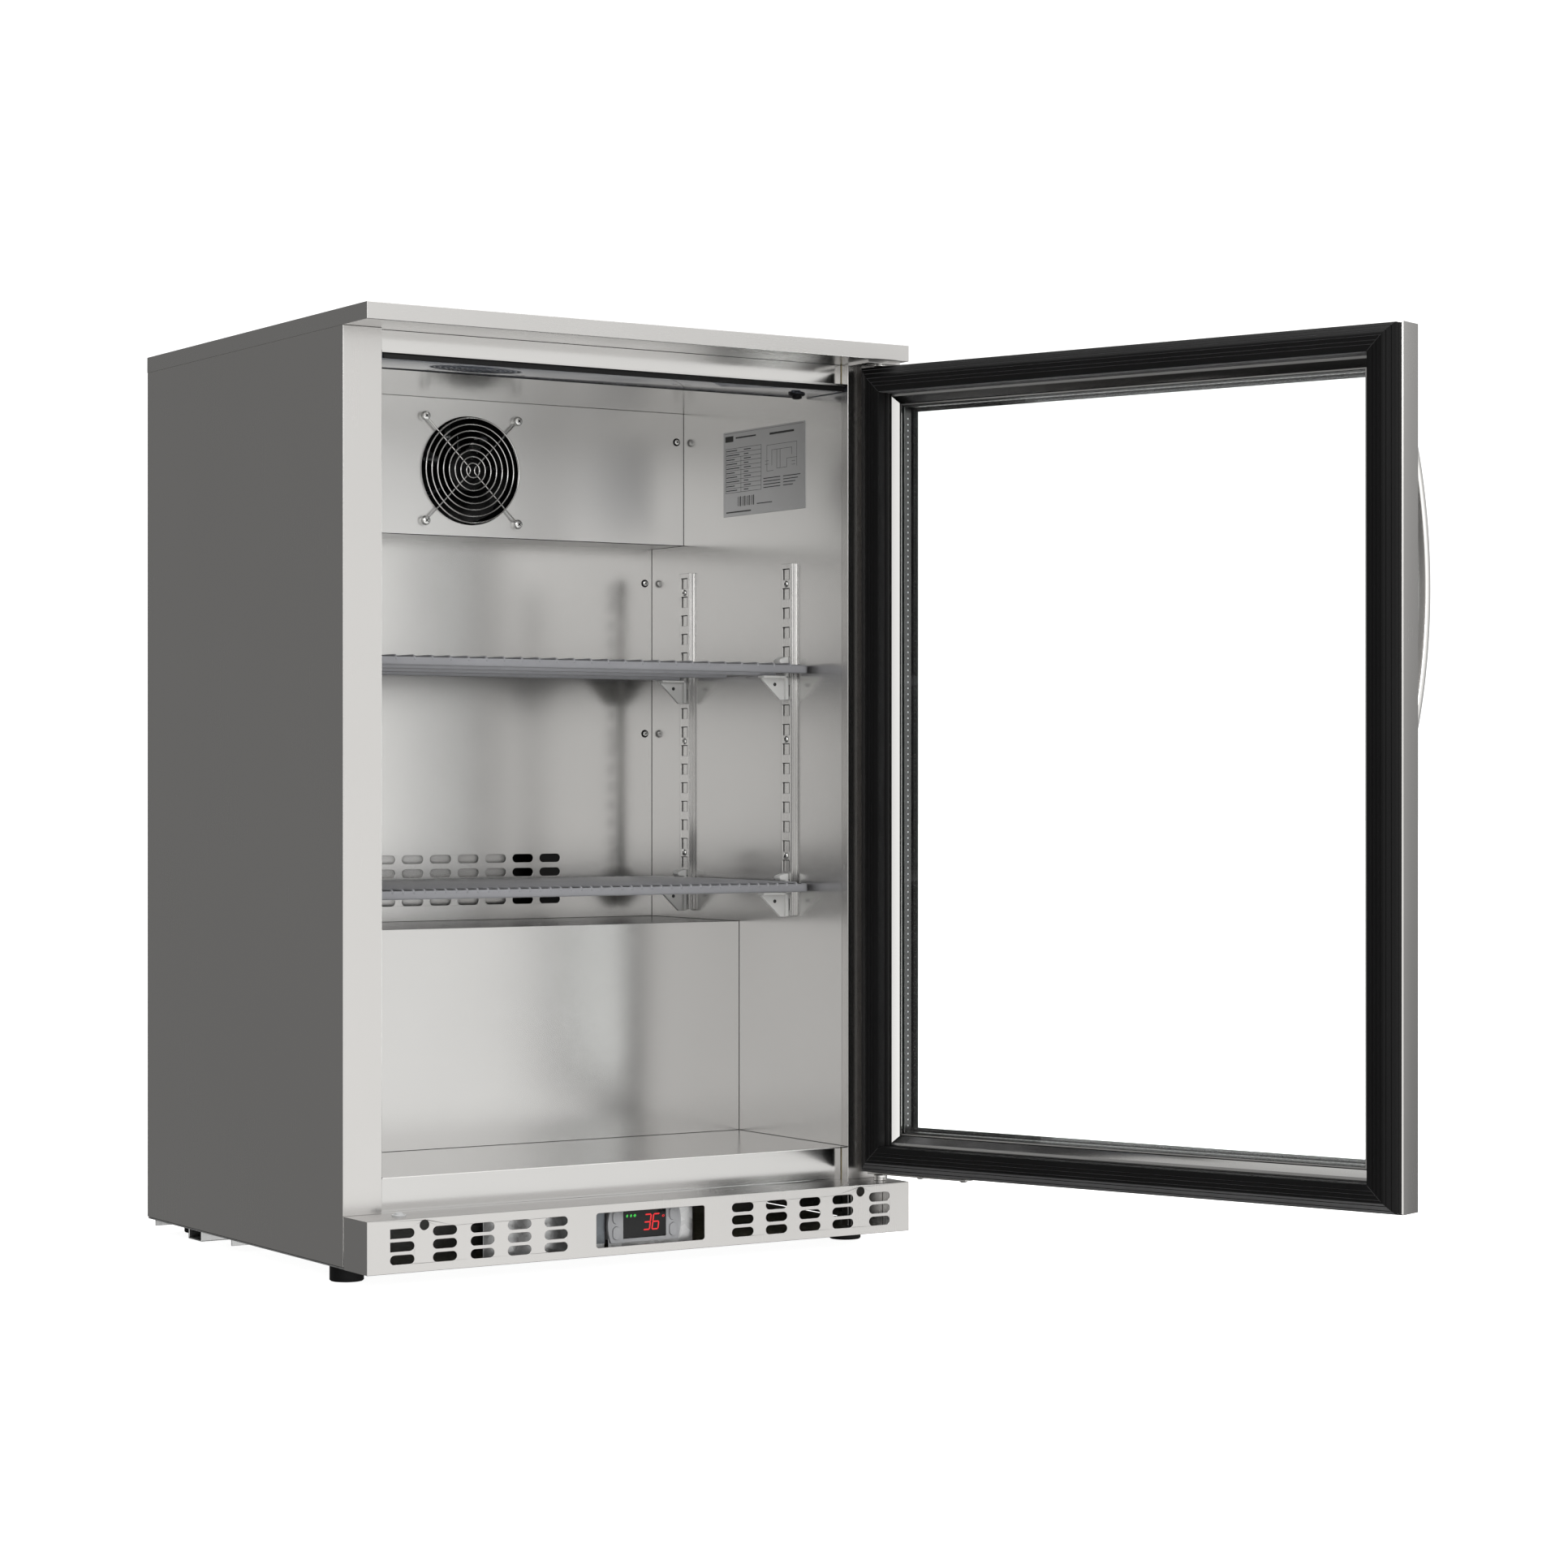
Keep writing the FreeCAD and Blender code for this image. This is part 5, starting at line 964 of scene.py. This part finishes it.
def rating_plate():
    """A foil plate with blank ruled rows, a plain wiring figure and no wording."""
    low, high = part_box("rating_plate")
    face = low.x
    bm = bmesh.new()
    block(bm, low, high, 0.15 * MM, 1)
    finish_piece("data_plate", bm, "label", ["rating_plate"])
    ink = bmesh.new()
    width, height = high.y - low.y, high.z - low.z

    def line(y0, z0, y1, z1, weight=0.4):
        """A printed line between two spots given as fractions from the plate's upper rear corner."""
        ys = sorted((high.y - y0 * width, high.y - y1 * width))
        zs = sorted((high.z - z0 * height, high.z - z1 * height))
        grow = weight * MM / 2
        start = (face - 0.08 * MM, ys[0] - grow, zs[0] - grow)
        block(ink, start, (face + 0.02 * MM, ys[1] + grow, zs[1] + grow), 0.02 * MM, 1)

    heading = [(0.02, 0.02, 0.98, 0.02, 0.3), (0.03, 0.06, 0.12, 0.11, 1.6), (0.16, 0.08, 0.4, 0.08, 1.6)]
    heading += [(0.58, 0.09, 0.86, 0.09, 2.2)]
    for entry in heading:
        line(*entry)
    for row in range(11):
        z = 0.2 + 0.052 * row
        line(0.03, z, 0.47, z)
        if row:
            line(0.04, z - 0.026, 0.04 + 0.1 + 0.03 * (row % 3), z - 0.026, 1.0)
            line(0.26, z - 0.026, 0.31 + 0.03 * (row % 2), z - 0.026, 1.0)
    for y, top in ((0.03, 0.2), (0.22, 0.304), (0.47, 0.2)):
        line(y, top, y, 0.72)
    figure = [
        (0.54, 0.22, 0.9, 0.22), (0.54, 0.22, 0.54, 0.52), (0.9, 0.22, 0.9, 0.5), (0.6, 0.28, 0.84, 0.28),
        (0.6, 0.28, 0.6, 0.46), (0.84, 0.28, 0.84, 0.36), (0.66, 0.28, 0.66, 0.5), (0.7, 0.28, 0.7, 0.5),
        (0.54, 0.52, 0.62, 0.52), (0.78, 0.4, 0.9, 0.4), (0.78, 0.4, 0.78, 0.5), (0.66, 0.5, 0.78, 0.5),
        (0.52, 0.4, 0.56, 0.4), (0.52, 0.44, 0.56, 0.44), (0.84, 0.44, 0.88, 0.44), (0.84, 0.48, 0.88, 0.48),
    ]
    for entry in figure:
        line(*entry, 0.35)
    for row in range(4):
        z = 0.6 + 0.035 * row
        line(0.5, z, 0.7, z, 0.9)
        line(0.74, z, 0.94 - 0.03 * row, z, 0.9)
    for stripe in range(12):
        y = 0.18 + 0.018 * stripe
        line(y, 0.78, y, 0.88, 0.5 + 0.5 * (stripe % 3))
    line(0.04, 0.95, 0.34, 0.95, 1.4)
    line(0.42, 0.88, 0.6, 0.88, 1.0)
    finish_piece("plate_print", ink, "printed_ink")


def hole_plug():
    """The domed plug in the spare hinge hole."""
    low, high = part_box("hinge_hole_plug")
    centre = (low + high) / 2
    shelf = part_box("plinth_grille")[1].z
    rise, radius, stem = high.z - shelf, (high.x - low.x) / 2, 2.4 * MM
    profile = [
        (0, low.z - shelf), (stem, low.z - shelf), (stem, 0), (radius, 0), (radius, 0.8 * MM),
        (radius * 0.93, 1.3 * MM), (radius * 0.6, 1.6 * MM), (radius * 0.56, rise * 0.75),
        (radius * 0.4, rise), (0, rise),
    ]
    bm = bmesh.new()
    lathe(bm, profile, Matrix.Translation((centre.x, centre.y, shelf)), 40)
    finish_piece("hole_plug", bm, "clear_plastic", ["hinge_hole_plug"])


def switch():
    """The lamp's push switch and the collar around it."""
    low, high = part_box("lamp_switch")
    centre = (low + high) / 2
    depth, radius = high.z - low.z, 4.9 * MM
    profile = [
        (0, 0), (radius, 0), (radius, depth - 1.6 * MM), (4.2 * MM, depth - 0.5 * MM),
        (2.6 * MM, depth), (0, depth),
    ]
    bm = bmesh.new()
    lathe(bm, profile, facing((centre.x, centre.y, high.z), DOWN), 32)
    finish_piece("switch_button", bm, "black_plastic", ["lamp_switch"], body="lamp_switch")
    lens_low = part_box("lamp_cover")[0].z
    bm = bmesh.new()
    collar = millimetres([(5.3, 0), (8.6, 0), (8.2, 1), (6.4, 1.8), (5.3, 1.8), (5.3, 0)])
    lathe(bm, collar, facing((centre.x, centre.y, lens_low), DOWN), 32)
    finish_piece("switch_collar", bm, "black_plastic")


def lamp_strip():
    """The lamp's glossy cover between a dark front and a dark rear edge bar."""
    low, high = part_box("lamp_cover")
    bar, lift = 1.3 * MM, 0.3 * MM
    bm = bmesh.new()
    block(bm, (low.x, low.y + bar, low.z), (high.x, high.y - bar, high.z), 0.8 * MM, 3)
    finish_piece("lamp_window", bm, "lamp_lens", ["lamp_cover"])
    bars = bmesh.new()
    for y in (low.y, high.y - bar):
        block(bars, (low.x, y, low.z - lift), (high.x, y + bar, high.z), 0.5 * MM)
    finish_piece("lamp_edges", bars, "black_plastic")


def joint_lines():
    """The fine dark gaps where the liner's panels, the header and the worktop meet."""
    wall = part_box("shelf_pilasters")[1].x
    cover_low, cover_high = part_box("evaporator_cover")
    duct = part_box("back_duct_panel")[0].y
    step_low, step_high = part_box("liner_step")
    header_low, header_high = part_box("header_rail")
    front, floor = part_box("liner_floor")[0].y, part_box("liner_floor")[1].z
    fold, grow = 16 * MM, 0.35 * MM
    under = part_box("worktop")[1].z - fold
    bm = bmesh.new()

    def line(start, end):
        """One gap between two spots."""
        low = Vector([min(a, b) - grow for a, b in zip(start, end)])
        high = Vector([max(a, b) + grow for a, b in zip(start, end)])
        block(bm, low, high, 0.1 * MM, 1)

    for x in (-wall, wall):
        line((x, cover_low.y, cover_low.z), (x, cover_low.y, cover_high.z))
        line((x, duct, step_high.z), (x, duct, cover_low.z))
        line((x, step_low.y, floor), (x, step_low.y, step_high.z))
        line((x, step_low.y, step_high.z), (x, duct, step_high.z))
        line((x, front, floor), (x, step_low.y, floor))
        line((x, cover_low.y, cover_low.z), (x, duct, cover_low.z))
    for y, z in ((cover_low.y, cover_low.z), (duct, step_high.z), (step_low.y, floor)):
        line((-wall, y, z), (wall, y, z))
    line((header_low.x, header_low.y, under), (header_high.x, header_low.y, under))
    finish_piece("joint_gaps", bm, "joint_shadow")


def duct_shadow():
    """The unlit space behind the last column of slots in the back panel."""
    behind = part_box("back_duct_panel")[1].y + 0.5 * MM
    lowest, highest = DUCT_SLOT_HEIGHTS
    margin = 8 * MM
    bm = bmesh.new()
    start = (3.5 * DUCT_SLOT_PITCH, behind, lowest - margin)
    block(bm, start, (4.5 * DUCT_SLOT_PITCH, behind + 0.5 * MM, highest + margin), 0.1 * MM, 1)
    finish_piece("duct_shadow", bm, "joint_shadow")


def shield_painted_shade():
    """A dark strip of galvanised steel on the base pan's shield, showing beside the controller: painted shade."""
    low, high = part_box("controller_bezel")
    setback, reach, gap = 4.6 * MM, 24 * MM, 1 * MM
    bm = bmesh.new()
    start = (low.x - reach, low.y + setback, low.z)
    block(bm, start, (low.x - gap, low.y + setback + 0.3 * MM, high.z), 0.1 * MM, 1)
    finish_piece("shield_painted_shade", bm, "shaded_steel")


door_skin()
duct_shadow()
shield_painted_shade()
door_profile()
gasket()
glass_edges()
handle()
hinge_fittings()
screws()
fan_guard()
fan_rotor()
wire_shelf("upper", 19.4)
wire_shelf("lower", 11.45)
pilasters()
shelf_clips()
controller_display()
rating_plate()
hole_plug()
switch()
lamp_strip()
joint_lines()

# --- studio ---

FLOOR_SIZE = 60.0
CAMERA_PLACE = (-1.7210, -3.1356, 0.4616)
CAMERA_YAW = math.radians(-33.01)
FOCAL_LENGTH = 80.75


def floor_paint():
    """Matt white paint that looks a little brighter to the viewer, so shadows stay pale."""
    material = moulded("floor_paint", (0.93, 0.93, 0.925), 0.9, 30, 0.0, 0.01)
    tree = material.node_tree
    shader = tree.nodes["Principled BSDF"]
    glow = node(tree, "ShaderNodeMath", {0: seen_directly(tree), 1: 0.9}, operation="MULTIPLY").outputs[0]
    shader.inputs["Emission Color"].default_value = (1, 1, 1, 1)
    tree.links.new(glow, shader.inputs["Emission Strength"])
    return material


def studio():
    """Pale floor, bright front light, a darker left and rear, and a white backdrop."""
    scene = bpy.context.scene
    scene.view_settings.view_transform = "Standard"
    scene.view_settings.look = "None"
    world = bpy.data.worlds.new("studio")
    scene.world = world
    world.use_nodes = True
    tree = world.node_tree
    tree.nodes.clear()
    where = node(tree, "ShaderNodeTexCoord").outputs["Generated"]
    split = node(tree, "ShaderNodeSeparateXYZ", {"Vector": where}).outputs

    def ramp(axis, start, end, low, high, kind="SMOOTHSTEP"):
        """A number that goes from low to high between two values of a direction's part."""
        links = {"Value": split[axis], "From Min": start, "From Max": end, "To Min": low, "To Max": high}
        return node(tree, "ShaderNodeMapRange", links, interpolation_type=kind).outputs["Result"]

    def combine(first, second, operation):
        """The sum or product of two numbers."""
        return node(tree, "ShaderNodeMath", {0: first, 1: second}, operation=operation).outputs[0]

    front = ramp("Y", 0.0, -0.96, 0.2, 0.98, "LINEAR")
    low = ramp("Z", 0.25, -0.25, 0.0, 0.34, "LINEAR")
    low_front = combine(ramp("Y", -0.5, -0.95, 0.0, 1.0), low, "MULTIPLY")
    high = ramp("Z", -0.15, 0.2, 0.0, 1.0, "LINEAR")
    right = combine(ramp("X", 0.45, 1.0, 0.0, 0.32), high, "MULTIPLY")
    above = ramp("Z", 0.3, 1.0, 0.0, 0.4)
    total = combine(combine(front, low_front, "ADD"), combine(right, above, "ADD"), "ADD")
    total = combine(total, ramp("Z", -0.75, -0.3, 0.12, 1.0), "MULTIPLY")
    light = node(tree, "ShaderNodeBackground", {"Color": (1.0, 0.995, 0.98, 1), "Strength": total})
    backdrop = node(tree, "ShaderNodeBackground", {"Color": (1, 1, 1, 1), "Strength": 1.3})
    mixed = node(tree, "ShaderNodeMixShader", {0: seen_directly(tree)})
    tree.links.new(light.outputs[0], mixed.inputs[1])
    tree.links.new(backdrop.outputs[0], mixed.inputs[2])
    out = node(tree, "ShaderNodeOutputWorld")
    tree.links.new(mixed.outputs[0], out.inputs["Surface"])

    mesh = bpy.data.meshes.new("floor")
    half = FLOOR_SIZE / 2
    corners = [(-half, -half, 0), (half, -half, 0), (half, half, 0), (-half, half, 0)]
    mesh.from_pydata(corners, [], [(0, 1, 2, 3)])
    floor = bpy.data.objects.new("floor", mesh)
    scene.collection.objects.link(floor)
    mesh.materials.append(floor_paint())
    floor.visible_glossy = False

    for name, place, aim, size, power in (
        ("ceiling_light", (0.2, -0.6, 3.2), (0, 0, 0.4), 3.2, 60),
        ("front_light", (-0.6, -3.6, 2.0), (0, 0, 0.45), 1.8, 22),
    ):
        lamp = bpy.data.lights.new(name, "AREA")
        lamp.size = size
        lamp.energy = power
        thing = bpy.data.objects.new(name, lamp)
        thing.location = place
        thing.rotation_euler = (Vector(aim) - Vector(place)).to_track_quat("-Z", "Y").to_euler()
        scene.collection.objects.link(thing)


def camera():
    """The viewpoint: level, from the front left."""
    lens = bpy.data.cameras.new("camera")
    lens.sensor_width = 36.0
    lens.lens = FOCAL_LENGTH
    lens.clip_end = 100.0
    thing = bpy.data.objects.new("camera", lens)
    thing.location = CAMERA_PLACE
    thing.rotation_euler = (math.radians(90), 0, CAMERA_YAW)
    bpy.context.scene.collection.objects.link(thing)
    bpy.context.scene.camera = thing


studio()
camera()
